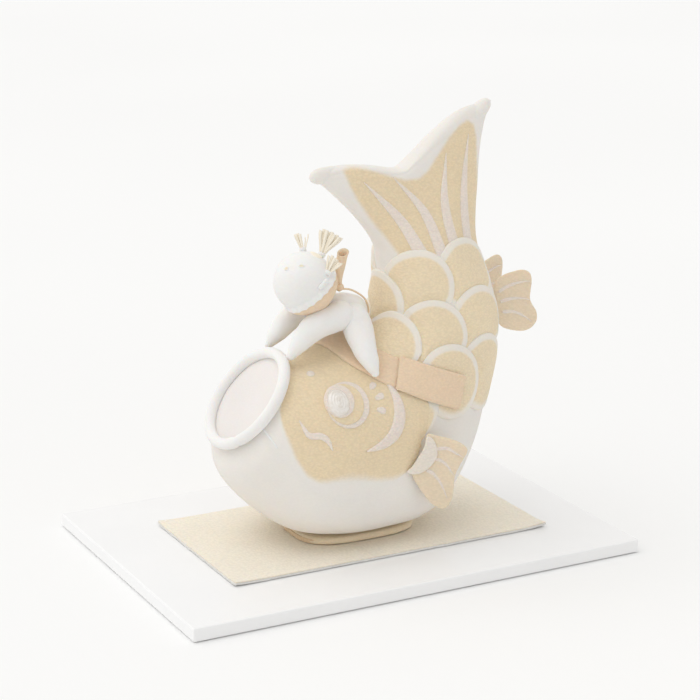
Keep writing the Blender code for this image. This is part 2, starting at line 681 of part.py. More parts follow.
def build_sash(seat, group, paints):
    near = [seat.under(x, z, -1)[0] for x, z in SASH[1:]]
    far = [seat.under(x, z, 1)[0] for x, z in SASH[1:]]
    ridge = seat.settle(Vector((SASH[0][0], MID_Y, SASH[0][1])))[0]
    line = near[::-1] + [ridge] + far
    strip_on(seat, "sash_ribbon", line, [SASH_HALF] * len(line), SASH_LIFT, SASH_THICK,
             paints["peach"], group, 30, 4)


# ---------------------------------------------------------------- fins

def fin_frame(seat, spot, flare, side, room):
    """The fin's root point and its outward and up directions."""
    root, normal = seat.under(*spot, side)
    angle = math.radians(flare)
    out = Vector((math.cos(angle), side * math.sin(angle), 0))
    return root + normal * room, out


def flat_fin(name, root, out, outline, inner, thick, side, paint, group):
    """A flat padded fin: an outline of (out, up) points with a softly rounded edge."""
    face = Vector((-out.y, out.x, 0)) * side
    middle = Vector((sum(p[0] for p in outline) / len(outline), sum(p[1] for p in outline) / len(outline)))
    rows = []
    for share, height in ((0.9, 0.9), (1.0, 0.5)):
        ring = []
        for spot in outline:
            flat = middle.lerp(Vector(spot), share)
            base = root + out * flat.x + Vector((0, 0, flat.y)) + face * inner
            ring.append((base - face * thick / 2 * height, base + face * thick / 2 * height))
        rows.append(ring)
    centre = root + out * middle.x + Vector((0, 0, middle.y)) + face * inner
    shell = bmesh.new()
    fan_solid(shell, (centre - face * thick / 2, centre + face * thick / 2), rows)
    return put_mesh(name, shell, paint, group)


def build_fins(seat, group, paints):
    root_height = FIN_THICK / 2 + GAP + PECTORAL_ROOT_THICK / 2
    for side, hand in ((-1, "near"), (1, "far")):
        root, out = fin_frame(seat, PECTORAL_SPOT[hand], PECTORAL_FLARE, side, PECTORAL_ROOM)
        flat_fin(f"pectoral_fin_{hand}", root, out, PECTORAL_FIN, 0.0, FIN_THICK, side, paints["fin_crepe"], group)
        flat_fin(f"pectoral_root_{hand}", root, out, PECTORAL_ROOT, root_height, PECTORAL_ROOT_THICK, side,
                 paints["crepe"], group)
        root, out = fin_frame(seat, PELVIC_SPOT[hand], PELVIC_FLARE, side, PELVIC_ROOM)
        flat_fin(f"pelvic_fin_{hand}", root, out, PELVIC_FIN, 0.0, FIN_THICK, side, paints["fin_crepe"], group)


# ---------------------------------------------------------------- child doll

def round_rings(line, radii, sides, steps=5, grow=0.0):
    """Rings along a smooth line, closed by small domes at the ends."""
    last = len(line) - 1
    sizes = [Vector((value, 0)) for value in radii]
    stations = []
    for i in range(steps + 1):
        place = last * i / steps
        ahead = (catmull(line, place + 0.05) - catmull(line, place - 0.05)).normalized()
        stations.append((catmull(line, place), ahead, catmull(sizes, place).x + grow))
    bends = [math.radians(tilt) for tilt in (75, 50, 25)]
    spot, ahead, size = stations[0]
    rows = [(spot - ahead * size * math.sin(bend), ahead, size * math.cos(bend)) for bend in bends]
    rows += stations
    spot, ahead, size = stations[-1]
    rows += [(spot + ahead * size * math.sin(bend), ahead, size * math.cos(bend)) for bend in reversed(bends)]
    rings = []
    for spot, ahead, size in rows:
        side = ahead.cross(Vector((0, 1, 0.3))).normalized()
        up = side.cross(ahead)
        rings.append([spot + (side * math.cos(a) + up * math.sin(a)) * size
                      for a in (2 * math.pi * k / sides for k in range(sides))])
    return rings


def limb(name, line, radii, grow, paint, group):
    shell = bmesh.new()
    skin_rings(shell, round_rings(line, radii, LIMB_SIDES, LIMB_STEPS, grow), (True, True))
    return put_mesh(name, shell, paint, group)


def limb_line(rows, side, spread):
    """The middle line of a limb; spread moves its end further out."""
    line = []
    for i, (x, z, y, _) in enumerate(rows):
        out = y + spread * (i / (len(rows) - 1)) ** 2
        line.append(Vector((x, MID_Y + side * out, z)))
    return line


def build_limbs(torso, group, cutters, paints):
    """Both legs, and both arms cut where they press against a leg or the bib; the torso is cut for all four."""
    shell = bmesh.new()
    bmesh.ops.create_uvsphere(shell, u_segments=32, v_segments=20, radius=HEAD_RADIUS + BIB_LIFT + BIB_THICK + GAP)
    bmesh.ops.translate(shell, vec=Vector(HEAD_CENTRE), verts=shell.verts)
    bib_room = put_mesh("bib_room", shell, paints["peach"], cutters)
    hide_cutter(bib_room)
    for side, hand in ((-1, "near"), (1, "far")):
        spread = FAR_ARM_SPREAD if hand == "far" else 0.0
        leg_line, arm_line = limb_line(LEG, side, 0.0), limb_line(ARM, side, spread)
        leg_radii, arm_radii = [row[3] for row in LEG], [row[3] for row in ARM]
        limb(f"doll_leg_{hand}", leg_line, leg_radii, 0.0, paints["crepe"], group)
        arm = limb(f"doll_arm_{hand}", arm_line, arm_radii, 0.0, paints["crepe"], group)
        leg_room = limb(f"doll_leg_{hand}_room", leg_line, leg_radii, LEG_GAP, paints["crepe"], cutters)
        arm_room = limb(f"doll_arm_{hand}_room", arm_line, arm_radii, GAP, paints["crepe"], cutters)
        for cutter in (leg_room, arm_room):
            hide_cutter(cutter)
            subtract(torso, cutter)
        subtract(arm, leg_room)
        subtract(arm, bib_room)


def build_doll(group, cutters, paints):
    shell = bmesh.new()
    line = [Vector((x, MID_Y, z)) for x, z, _ in TORSO]
    skin_rings(shell, round_rings(line, [row[2] for row in TORSO], TORSO_SIDES), (True, True))
    torso = put_mesh("doll_torso", shell, paints["crepe"], group)
    build_limbs(torso, group, cutters, paints)

    centre, neck = Vector(HEAD_CENTRE), Vector(NECK_WAY).normalized()
    shell = bmesh.new()
    bmesh.ops.create_uvsphere(shell, u_segments=20, v_segments=12, radius=HEAD_RADIUS)
    bmesh.ops.translate(shell, vec=centre, verts=shell.verts)
    head = put_mesh("doll_head", shell, paints["crepe"], group)

    shell = bmesh.new()
    peg_from, peg_to = HEAD_RADIUS - 8.0, HEAD_RADIUS + 6.0
    bmesh.ops.create_cone(shell, cap_ends=True, segments=12, radius1=NECK_PEG_RADIUS, radius2=NECK_PEG_RADIUS,
                          depth=peg_to - peg_from)
    turn = Vector((0, 0, 1)).rotation_difference(neck).to_matrix().to_4x4()
    place = Matrix.Translation(centre + neck * (peg_from + peg_to) / 2)
    bmesh.ops.transform(shell, matrix=place @ turn, verts=shell.verts)
    put_mesh("neck_peg", shell, paints["wood"], group)
    cut_round_hole(head, centre, NECK_PEG_RADIUS + GAP, peg_from - GAP, HEAD_RADIUS + 3, cutters, neck)
    cut_round_hole(torso, centre, NECK_PEG_RADIUS + GAP + 0.1, HEAD_RADIUS - 2, peg_to + GAP, cutters, neck)


def build_bib(group, paints):
    """A cloth bib under the chin: a band of a ball round the neck's axis, just clear of the head."""
    centre, neck = Vector(HEAD_CENTRE), Vector(NECK_WAY).normalized()
    side = neck.cross(Vector((0, 1, 0))).normalized()
    other = neck.cross(side)
    rings = []
    for radius, angles in ((HEAD_RADIUS + BIB_LIFT, BIB_ANGLES), (HEAD_RADIUS + BIB_LIFT + BIB_THICK, BIB_ANGLES[::-1])):
        for angle in angles:
            tilt = math.radians(angle)
            rings.append([centre + neck * radius * math.cos(tilt)
                          + (side * math.cos(a) + other * math.sin(a)) * radius * math.sin(tilt)
                          for a in (2 * math.pi * k / 18 for k in range(18))])
    shell = bmesh.new()
    skin_rings(shell, rings + rings[:1])
    put_mesh("bib", shell, paints["peach"], group)


def band_loop(name, middle, up, across, tall, wide, band, thick, paint, group):
    """A flat ribbon sewn into a closed loop."""
    rings = []
    depth = up.cross(across)
    for i in range(20):
        angle = 2 * math.pi * i / 20
        ring = []
        for size, edge in ((0, -1), (thick, -1), (thick, 1), (0, 1)):
            ring.append(middle + up * math.cos(angle) * (tall / 2 - size)
                        + across * math.sin(angle) * (wide / 2 - size) + depth * edge * band / 2)
        rings.append(ring)
    shell = bmesh.new()
    skin_rings(shell, rings + rings[:1])
    return put_mesh(name, shell, paint, group)


def build_ribbon_trim(group, paints):
    up = (Vector(BOW_TOP) - Vector(BOW_KNOT)).normalized()
    across = up.cross(Vector((0, 1, 0))).normalized()
    tall = (Vector(BOW_TOP) - Vector(BOW_KNOT)).length
    middle = (Vector(BOW_TOP) + Vector(BOW_KNOT)) / 2
    band_loop("bib_bow_loop", middle, up, across, tall, BOW_WIDE, BOW_BAND, 1.0, paints["peach"], group)

    points = [Vector(point) for point in BACK_CORD]
    line = [catmull(points, (len(points) - 1) * i / 16) for i in range(17)]
    curve = bpy.data.curves.new("back_cord", "CURVE")
    curve.dimensions = "3D"
    curve.bevel_depth = CORD_RADIUS * MM
    curve.bevel_resolution = 2
    curve.use_fill_caps = True
    spline = curve.splines.new("POLY")
    spline.points.add(len(line) - 1)
    for knot, point in zip(spline.points, line):
        knot.co = (*(point * MM), 1.0)
    curve.materials.append(paints["peach"])
    group.objects.link(bpy.data.objects.new("back_cord", curve))


def build_hair(group, paints):
    """Tufts of flat straw: a narrow bound foot and a fan that opens outward."""
    centre, facing = Vector(HEAD_CENTRE), Vector(TUFT_FACING)
    for name, foot, end, spread in TUFTS:
        foot, end = Vector(foot), Vector(end)
        length, way = (end - foot).length, (end - foot).normalized()
        outward = (foot - centre).normalized()
        across = way.cross(facing).normalized()
        depth = way.cross(across)
        foot = centre + outward * (HEAD_RADIUS + GAP + TUFT_FOOT * math.sin(way.angle(outward)))
        rings = []
        neck = 0.85 * TUFT_FOOT
        for share, half, thick in ((0.0, TUFT_FOOT, TUFT_FOOT), (0.2, neck, neck), (0.6, (neck + spread) / 2, 1.5),
                                   (1.0, spread, 1.2)):
            rings.append([foot + way * length * share + across * half * math.cos(a) + depth * thick * math.sin(a)
                          for a in (2 * math.pi * k / 10 for k in range(10))])
        shell = bmesh.new()
        skin_rings(shell, rings, (True, True))
        put_mesh(name, shell, paints["straw"], group)


def main():
    clear_scene()
    group = new_collection("carp_ornament")
    cutters = new_collection("cutters")
    paints = {
        "acrylic": material("acrylic", (0.93, 0.93, 0.93), 0.25),
        "card": material("card", (0.86, 0.82, 0.74), 0.9),
        "mat_crepe": material("mat_crepe", (0.87, 0.77, 0.62), 0.9),
        "wood": material("wood", (0.75, 0.6, 0.42), 0.6),
        "crepe": material("white_crepe", (0.92, 0.91, 0.89), 0.9),
        "foam": material("foam", (0.95, 0.95, 0.93), 0.9),
        "lining": material("lining", (0.93, 0.88, 0.86), 0.9),
        "face_crepe": material("face_crepe", (0.89, 0.78, 0.60), 0.9),
        "scale_crepe": material("scale_crepe", (0.89, 0.80, 0.64), 0.9),
        "fin_crepe": material("fin_crepe", (0.84, 0.75, 0.61), 0.9),
        "peach": material("peach_crepe", (0.90, 0.73, 0.56), 0.9),
        "pearl": material("pearl", (0.93, 0.90, 0.88), 0.3),
        "straw": material("straw", (0.87, 0.76, 0.57), 0.7),
    }
    seat = Seat()
    build_body(group, paints)
    build_display_set(group, cutters, paints)
    build_mouth(group, paints)
    build_head_cover(group, paints)
    build_scales(seat, group, paints)
    build_cheek_scales(group, paints)
    build_face(seat, group, paints)
    build_sash(seat, group, paints)
    build_fins(seat, group, paints)
    build_doll(group, cutters, paints)
    build_bib(group, paints)
    build_ribbon_trim(group, paints)
    build_hair(group, paints)


main()
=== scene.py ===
"""Looks of the padded crepe carp ornament: dyed crepe, padded scales, the stuffed child, straw hair and
the display set.

Lengths below are in millimetres in the row frame and become metres when a mesh is made. +X runs from the
carp's mouth to its back, -Y faces the room and +Z is up. "near" is the -Y flank and "far" the +Y flank.
"""
import math

import bmesh
import bpy
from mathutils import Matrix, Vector, noise
from mathutils.bvhtree import BVHTree


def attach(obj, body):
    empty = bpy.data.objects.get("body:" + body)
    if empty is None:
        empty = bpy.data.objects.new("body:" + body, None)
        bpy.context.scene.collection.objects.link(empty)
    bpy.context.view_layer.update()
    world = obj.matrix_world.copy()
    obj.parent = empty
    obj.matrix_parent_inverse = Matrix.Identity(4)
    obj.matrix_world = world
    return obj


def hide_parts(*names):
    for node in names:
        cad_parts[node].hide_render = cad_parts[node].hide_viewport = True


MM = 0.001
SIDES = ((-1, "near"), (1, "far"))

# ---------------------------------------------------------------- sizes shared with the CAD model

MID_Y = -4.0
STATIONS = [
    # dorsal x, z    ventral x, z   half width  belly squareness
    ((-46.8, 124.3), (-84.6, 78.0), 30.4, 2.0),
    ((-40.5, 122.0), (-86.6, 60.5), 37.4, 2.1),
    ((-30.5, 123.0), (-73.6, 41.0), 44.2, 2.4),
    ((-20.0, 125.0), (-51.5, 23.0), 49.5, 3.25),
    ((-8.0, 128.5), (-22.0, 16.5), 51.5, 3.75),
    ((4.0, 133.0), (8.0, 16.3), 51.5, 4.0),
    ((14.0, 139.0), (38.0, 18.3), 50.0, 3.5),
    ((20.0, 147.0), (63.0, 32.0), 46.0, 2.7),
    ((22.0, 156.0), (83.0, 59.0), 41.0, 2.2),
    ((22.5, 165.0), (93.5, 90.0), 37.0, 2.0),
    ((22.0, 173.0), (101.0, 120.0), 33.0, 2.0),
    ((21.0, 181.0), (100.0, 150.0), 29.0, 2.0),
    ((19.0, 188.0), (92.0, 171.0), 25.0, 2.0),
    ((14.0, 196.0), (88.0, 188.0), 21.0, 2.0),
    ((4.0, 208.0), (88.0, 204.0), 17.0, 2.1),
    ((-7.0, 219.0), (89.5, 222.0), 13.5, 2.2),
    ((-17.0, 228.0), (91.0, 242.0), 10.5, 2.3),
    ((-23.0, 232.5), (94.0, 258.0), 7.8, 2.4),
    ((-25.0, 235.0), (99.0, 271.0), 0.0, 2.4),
]
BACK_SQUARENESS = 2.0
TAIL_START = 12
TAIL_EDGE = [(-25.0, 235.0), (-9.0, 239.5), (12.0, 238.5), (34.0, 235.0), (44.0, 242.0),
             (60.0, 256.5), (78.0, 267.5), (99.0, 271.0)]
RING_RADIUS = 31.6
RING_TUBE = 3.4
RING_OFFSET = 3.8
LINING_REACH = 31.2             # it ends under the ring
HEAD_COVER_REAR = [(0, 4.2), (25, 4.9), (40, 5.5), (60, 6.15), (74, 6.5), (82, 6.25), (88, 6.0),
                   (93, 5.45), (97, 4.8), (105, 3.8)]      # girth in degrees, station of the rear edge
SCALES = {
    # centre x, centre z, radius, shift of the seen part toward the tail, scales lying over it
    "a": (34.5, 165.0, 23.2, 6.0, "cdf"),
    "b": (69.0, 169.5, 23.4, 7.0, "ade"),
    "d": (39.8, 135.4, 23.4, 6.0, "fh"),
    "e": (75.0, 138.5, 24.6, 8.0, "dg"),
    "f": (11.5, 130.4, 24.2, 6.0, "h"),
    "g": (77.0, 108.5, 24.4, 4.0, "dh"),
    "h": (49.0, 108.5, 23.2, 2.0, ""),
}
RIDGE_SCALE = (20.0, 150.3, 22.8, 6.0)
CHEEK_SCALE = [(70, 6.6), (74, 6.75), (78, 6.88), (82, 6.88), (85, 6.6), (87.5, 6.25)]
EYE_DISCS = [
    # name, centre x, centre z, radius, bottom and top above the carp, extra height in the middle, paint, node
    ("eye_rim", -22.3, 103.6, 15.6, 1.4, 3.1, 0.3, "trim", "eye_disc_outer"),
    ("eye_beige", -24.0, 103.7, 13.2, 2.9, 4.0, 0.4, "beige", None),
    ("eye_ring", -27.3, 105.0, 10.6, 3.8, 5.2, 0.4, "trim", "eye_disc_inner"),
]
EYE_WIDTH = 0.86                # the eye's pieces are a little taller than wide
PEARL = (-28.4, 104.0, 9.3, 4.7, 5.9, 1.5)
PEARL_WIDTH = 0.70
GILL = [(4.5, 114.5), (8.4, 105.0), (8.2, 94.0), (3.6, 85.0), (-5.0, 79.5), (-15.5, 77.0)]
GILL_HALF = [0.8, 2.6, 3.9, 3.9, 2.6, 0.4]
BARBEL = [(-53.0, 97.5), (-49.0, 89.5), (-42.5, 88.5), (-38.5, 85.5), (-36.5, 80.0)]
BARBEL_HALF = [0.4, 1.7, 2.0, 1.6, 0.4]
LASHES = [
    # middle of the drop in x and z, and the way that its tip points
    ((-3.6, 111.9), (-0.62, -0.78)), ((-0.9, 106.2), (-0.93, -0.37)), ((-1.8, 98.5), (-0.93, 0.37)),
]
LASH_SIZE = (5.8, 4.2)
NOSTRIL = (-36.0, 118.0)
# The seam that takes in the cloth by the mouth, in x and z
DART = [(-71.6, 92.6), (-70.6, 90.4), (-68.9, 86.7), (-66.8, 82.7)]
DART_HALF = [0.7, 0.7, 0.6, 0.3]
SASH = [(-6.0, 129.0), (-4.0, 126.0), (3.0, 122.0), (13.0, 117.0), (32.0, 109.5), (53.0, 101.5)]
SASH_HALF = 9.7
PECTORAL_PIVOT = (19.5, 70.0)
PECTORAL_FLARE = 22.0
PECTORAL_FIN = [(4.4, 12.6), (10.5, 11.9), (18.4, 9.8), (24.5, 7.1), (28.6, 3.6), (29.0, 1.0), (27.2, -2.6),
                (24.7, -7.2), (22.3, -12.3), (21.2, -18.0), (20.8, -26.3), (18.9, -31.4), (16.5, -34.3),
                (14.1, -35.0), (11.0, -33.7), (7.3, -31.0), (3.0, -25.7), (-0.7, -19.8), (-4.3, -12.6),
                (-2.4, -6.4), (2.4, 1.2)]
PECTORAL_ROOT = [(6.2, 11.8), (8.7, 9.2), (10.4, 4.0), (10.5, -0.6), (8.8, -4.2), (5.2, -8.5), (0.4, -11.2),
                 (-4.5, -11.7), (-7.6, -9.8), (-4.6, -6.6), (-0.6, -0.4), (2.6, 5.6), (4.0, 11.4)]
PECTORAL_ROOM = 4.0
PECTORAL_RAYS = [[(9.6, 3.7), (16.6, 3.8), (21.5, 0.8), (26.5, -2.2)],
                 [(9.2, -2.5), (13.1, -3.9), (17.0, -7.5), (21.1, -13.8)],
                 [(4.4, -9.6), (8.6, -12.1), (13.4, -19.0), (17.0, -28.1)]]
PELVIC_PIVOT = {"near": (99.0, 145.0), "far": (98.0, 148.5)}
PELVIC_FLARE = 18.0
PELVIC_FIN = [(-1.2, 12.0), (4.1, 17.0), (10.4, 19.1), (15.6, 20.0), (19.4, 19.2), (21.8, 16.8), (22.6, 12.4),
              (22.0, 6.6), (21.7, 1.4), (23.2, -2.5), (25.7, -6.6), (26.6, -10.5), (25.9, -14.4),
              (22.9, -17.9),
              (18.4, -19.6), (13.2, -19.4), (8.0, -18.2), (3.5, -16.0), (0.6, -11.0), (-0.4, 0.0)]
PELVIC_ROOM = 1.0
PELVIC_RAYS = [[(1.5, 6.4), (5.5, 9.2), (11.9, 11.5), (17.0, 12.5), (21.8, 12.7)],
               [(2.5, 0.0), (7.0, 1.4), (12.1, 2.0), (17.3, 1.6), (21.4, 0.4)],
               [(3.9, -6.6), (9.1, -6.5), (13.6, -7.6), (18.2, -10.1), (22.8, -13.6)]]
HEAD_CENTRE = Vector((-32.0, -8.0, 172.0))
HEAD_RADIUS = 18.4
NECK_WAY = Vector((0.65, 0.1, -0.75)).normalized()
TORSO = [(-12.5, 149.5, 9.4), (-5.5, 151.0, 10.2), (2.0, 149.0, 10.2)]
ARM = [(-12.0, 150.6, 12.5, 9.2), (-18.5, 149.6, 13.8, 8.6), (-27.8, 147.6, 15.0, 8.3),
       (-34.4, 143.0, 14.0, 7.4), (-40.6, 136.2, 13.0, 5.6),
       (-45.2, 129.9, 12.4, 2.8)]
FAR_ARM_SPREAD = 5.0            # how much further out the far arm reaches
LEG = [(-3.0, 148.3, 13.5, 9.0), (-2.8, 143.6, 17.5, 9.2), (-4.3, 138.8, 24.8, 8.4), (-5.4, 131.8, 33.5, 6.8),
       (-4.5, 125.9, 38.8, 4.8), (-3.2, 121.0, 40.6, 2.6)]
BOW_KNOT = Vector((-8.0, -8.0, 166.5))
BOW_TOP = Vector((-5.5, -8.0, 187.0))
BACK_CORD = [(-6.0, -7.0, 164.4), (0.0, -6.0, 163.2), (5.5, -6.0, 160.3), (10.3, -6.0, 156.2),
             (12.9, -5.5, 151.0),
             (13.3, -5.5, 147.0)]

# ---------------------------------------------------------------- dye

# Where the beige of the face ends, as (station, girth in degrees); past the head cover's edges it is cut off
FACE_DYE = [(-3, -30), (-3, 42), (-0.2, 60), (-0.05, 69), (0.25, 80), (0.9, 85), (1.5, 92), (1.9, 97),
            (2.4, 100),
            (2.8, 98), (3.1, 95), (3.5, 93), (3.9, 93), (4.4, 94), (4.9, 95), (5.4, 95), (9, 95), (9, -30)]
STATION_LENGTH = 12.0           # millimetres along the cheek for one station
GIRTH_LENGTH = 0.85             # and for one degree of girth
# The beige panel of the tail's flanks, in x and z
TAIL_DYE = [(-6, 237.5), (0, 238.8), (7, 237.6), (14, 235.3), (25, 231.5), (34, 228.6), (43, 228.8),
            (49, 232.5),
            (56, 241), (65, 251), (73, 258), (79, 261), (84, 258), (86, 250), (86.5, 240), (87.5, 225),
            (88, 208),
            (90, 190), (90, 165), (40, 165), (26, 186), (20, 195), (12, 205), (3, 218), (-2.5, 228)]
TAIL_RAYS = [
    # base, middle and tip in x and z, half width at the base
    ((41.5, 179), (28, 205), (6, 230), 4.4), ((53.5, 178), (44.5, 208), (26, 231), 4.2),
    ((64.0, 178), (59, 212), (62.5, 243), 4.1), ((75.0, 178), (74, 215), (79.5, 252.5), 4.2),
]


def catmull(points, place):
    """A smooth curve through the points, where place counts points from 0."""
    last = len(points) - 1
    place = min(max(place, 0.0), last)
    i = min(int(place), last - 1)
    f = place - i
    p1, p2 = points[i], points[i + 1]
    p0 = points[i - 1] if i else p1 * 2 - p2
    p3 = points[i + 2] if i + 2 <= last else p2 * 2 - p1
    return (p1 * 2 + (p2 - p0) * f + (p0 * 2 - p1 * 5 + p2 * 4 - p3) * f * f
            + (p1 * 3 - p0 - p2 * 3 + p3) * f ** 3) * 0.5


def smooth(low, high, value):
    """0 below low, 1 above high, and an even ease between them."""
    share = min(max((value - low) / (high - low), 0.0), 1.0)
    return share * share * (3 - 2 * share)


DORSAL = [Vector(row[0]) for row in STATIONS]
VENTRAL = [Vector(row[1]) for row in STATIONS]
WIDTHS = [Vector((row[2], row[3])) for row in STATIONS]
EDGE = [Vector(point) for point in TAIL_EDGE]
LAST = len(STATIONS) - 1


def carp_point(place, girth):
    """A point on the carp: place runs along the stations, girth 0 is the back and pi the belly line."""
    back, belly = catmull(DORSAL, place), catmull(VENTRAL, place)
    half, square = catmull(WIDTHS, place)
    if place > LAST - 1:
        half = WIDTHS[LAST - 1].x * math.sqrt(max(0.0, 1 - (place - LAST + 1) ** 2))
    cos, sin = math.cos(girth), math.sin(girth)
    square = BACK_SQUARENESS if cos > 0 else square
    across = 0.5 - 0.5 * math.copysign(abs(cos) ** (2 / square), cos)
    side = math.copysign(abs(sin) ** (2 / square), sin) * half
    middle = back.lerp(belly, across)
    bend = max(0.0, (place - TAIL_START) / (LAST - TAIL_START)) ** 1.6
    straight = EDGE[0].lerp(EDGE[-1], across)
    middle += (catmull(EDGE, across * (len(EDGE) - 1)) - straight) * bend
    return Vector((middle.x, MID_Y + side, middle.y))


def carp_normal(place, girth):
    step = 0.02
    along = carp_point(min(place + step, LAST - 0.3), girth) - carp_point(max(place - step, 0.0), girth)
    round_ = carp_point(place, girth + step) - carp_point(place, girth - step)
    return along.cross(round_).normalized()


def polygon_depth(point, polygon):
    """How far a point in the plane lies inside a polygon; negative outside."""
    nearest = math.inf
    inside = False
    x, y = point
    for (ax, ay), (bx, by) in zip(polygon, polygon[1:] + polygon[:1]):
        dx, dy = bx - ax, by - ay
        share = min(max(((x - ax) * dx + (y - ay) * dy) / (dx * dx + dy * dy), 0.0), 1.0)
        nearest = min(nearest, math.hypot(x - ax - dx * share, y - ay - dy * share))
        if (ay > y) != (by > y) and x < ax + dx * (y - ay) / dy:
            inside = not inside
    return nearest if inside else -nearest


# ---------------------------------------------------------------- meshes

def piece(name, points, faces, paint, body, stands_for=(), fields=None):
    """A smooth piece from points in millimetres.
    fields are named numbers per point that its material reads."""
    mesh = bpy.data.meshes.new(name)
    mesh.from_pydata([point * MM for point in points], [], faces)
    for label, values in (fields or {}).items():
        mesh.attributes.new(label, "FLOAT", "POINT").data.foreach_set("value", values)
    mesh.materials.append(paint)
    mesh.shade_smooth()
    made = bpy.data.objects.new(name, mesh)
    bpy.context.scene.collection.objects.link(made)
    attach(made, body)
    if stands_for:
        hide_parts(*stands_for)
    return made


def face_out(made):
    """Point the faces of a closed piece outward."""
    shell = bmesh.new()
    shell.from_mesh(made.data)
    bmesh.ops.recalc_face_normals(shell, faces=shell.faces)
    shell.to_mesh(made.data)
    shell.free()
    return made


def grid_faces(rows, columns, closed_rows=False, closed_columns=False):
    """Faces of a grid of points stored row by row, optionally wrapped either way."""
    faces = []
    for i in range(rows if closed_rows else rows - 1):
        for j in range(columns if closed_columns else columns - 1):
            k, m = (i + 1) % rows, (j + 1) % columns
            faces.append((i * columns + j, i * columns + m, k * columns + m, k * columns + j))
    return faces


class Seat:
    """The carp's surface, to lay pieces on."""

    def __init__(self):
        rows, columns = 161, 144
        points = [carp_point(LAST * i / (rows - 1), 2 * math.pi * j / columns)
                  for i in range(rows) for j in range(columns)]
        faces = [tuple(reversed(face)) for face in grid_faces(rows, columns, closed_columns=True)]
        self.tree = BVHTree.FromPolygons(points, faces)

    def under(self, x, z, side):
        """The carp's flank at x, z, with the way that it faces."""
        point, normal, _, _ = self.tree.ray_cast(Vector((x, MID_Y + side * 200, z)), Vector((0, -side, 0)))
        return point, normal

    def settle(self, point):
        point, normal, _, _ = self.tree.find_nearest(point)
        return point, normal


SEAT = Seat()
RIM = 0.9                       # how far in the rounded edge of a padded patch reaches
EDGE_STEPS = (0.0, 0.1, 0.28, 0.55, 0.9, 1.5)


def rim(from_edge, reach=RIM):
    """The rounded profile of a padded edge: 0 at the edge and 1 past its reach."""
    share = min(max(from_edge / reach, 0.0), 1.0)
    return math.sqrt(1 - (1 - share) ** 2)


def pad_on(name, start, reach, height, field, paint, body, stands_for=(), spokes=96, rings=14, sink=0.5):
    """A padded patch on the carp from its middle to its edge.
    reach(way) is how far it goes along a direction, height(spot, from_edge) is its top above the carp, and
    field(spot, from_edge) is the dye there."""
    point, normal = start
    away = Vector((0, 0, 1)).cross(normal).normalized()
    up = normal.cross(away)
    points, dye = [point + normal * height(point, 99.0)], [field(point, 99.0)]
    ways = []
    for j in range(spokes):
        angle = 2 * math.pi * j / spokes
        ways.append(away * math.cos(angle) + up * math.sin(angle))
    reaches = [reach(way) for way in ways]
    layers = [(i / rings, None) for i in range(1, rings)] + [(None, step) for step in reversed(EDGE_STEPS)]
    for share, step in layers:
        for way, far in zip(ways, reaches):
            inner = max(far - EDGE_STEPS[-1], far * 0.5)
            distance = inner * share if step is None else max(far - step, inner)
            spot, facing = SEAT.settle(point + way * distance)
            points.append(spot + facing * height(spot, far - distance))
            dye.append(field(spot, far - distance))
    for way, far in zip(ways, reaches):
        spot, facing = SEAT.settle(point + way * far)
        points.append(spot - facing * sink)
        dye.append(field(spot, 0.0))
    faces = [(0, 1 + j, 1 + (j + 1) % spokes) for j in range(spokes)]
    faces += [tuple(1 + k for k in face) for face in grid_faces(len(layers) + 1, spokes, closed_columns=True)]
    faces = [tuple(reversed(face)) for face in faces[spokes:]] + faces[:spokes]
    return piece(name, points, faces, paint, body, stands_for, {"dye": dye})


def strip_on(name, line, halves, height, paint, body, stands_for=(), steps=60, field=None, base=0.0,
             columns=None):
    """A padded strip on the carp along seats, with a width that varies.
    height(from_edge) is its top above base."""
    shares = columns or [-1.0, -0.93, -0.8, -0.6, -0.3, 0.0, 0.3, 0.6, 0.8, 0.93, 1.0]
    last = len(line) - 1
    widths = [Vector((value, 0)) for value in halves]
    points, dye = [], []
    for i in range(steps + 1):
        place = last * i / steps
        spot = catmull(line, place)
        ahead = catmull(line, place + 0.05) - catmull(line, place - 0.05)
        _, normal = SEAT.settle(spot)
        across = normal.cross(ahead).normalized()
        half = max(catmull(widths, place).x, 0.15)
        for k, share in enumerate([shares[0], *shares, shares[-1]]):
            seat, facing = SEAT.settle(spot + across * half * share)
            skirt = k in (0, len(shares) + 1)
            top = base - 0.6 if skirt else base + height(half * (1 - abs(share)), place / last)
            points.append(seat + facing * top)
            dye.append(field(place / last, half * (1 - abs(share))) if field else 1.0)
    faces = grid_faces(steps + 1, len(shares) + 2)
    return piece(name, points, faces, paint, body, stands_for, {"dye": dye})


# ---------------------------------------------------------------- materials

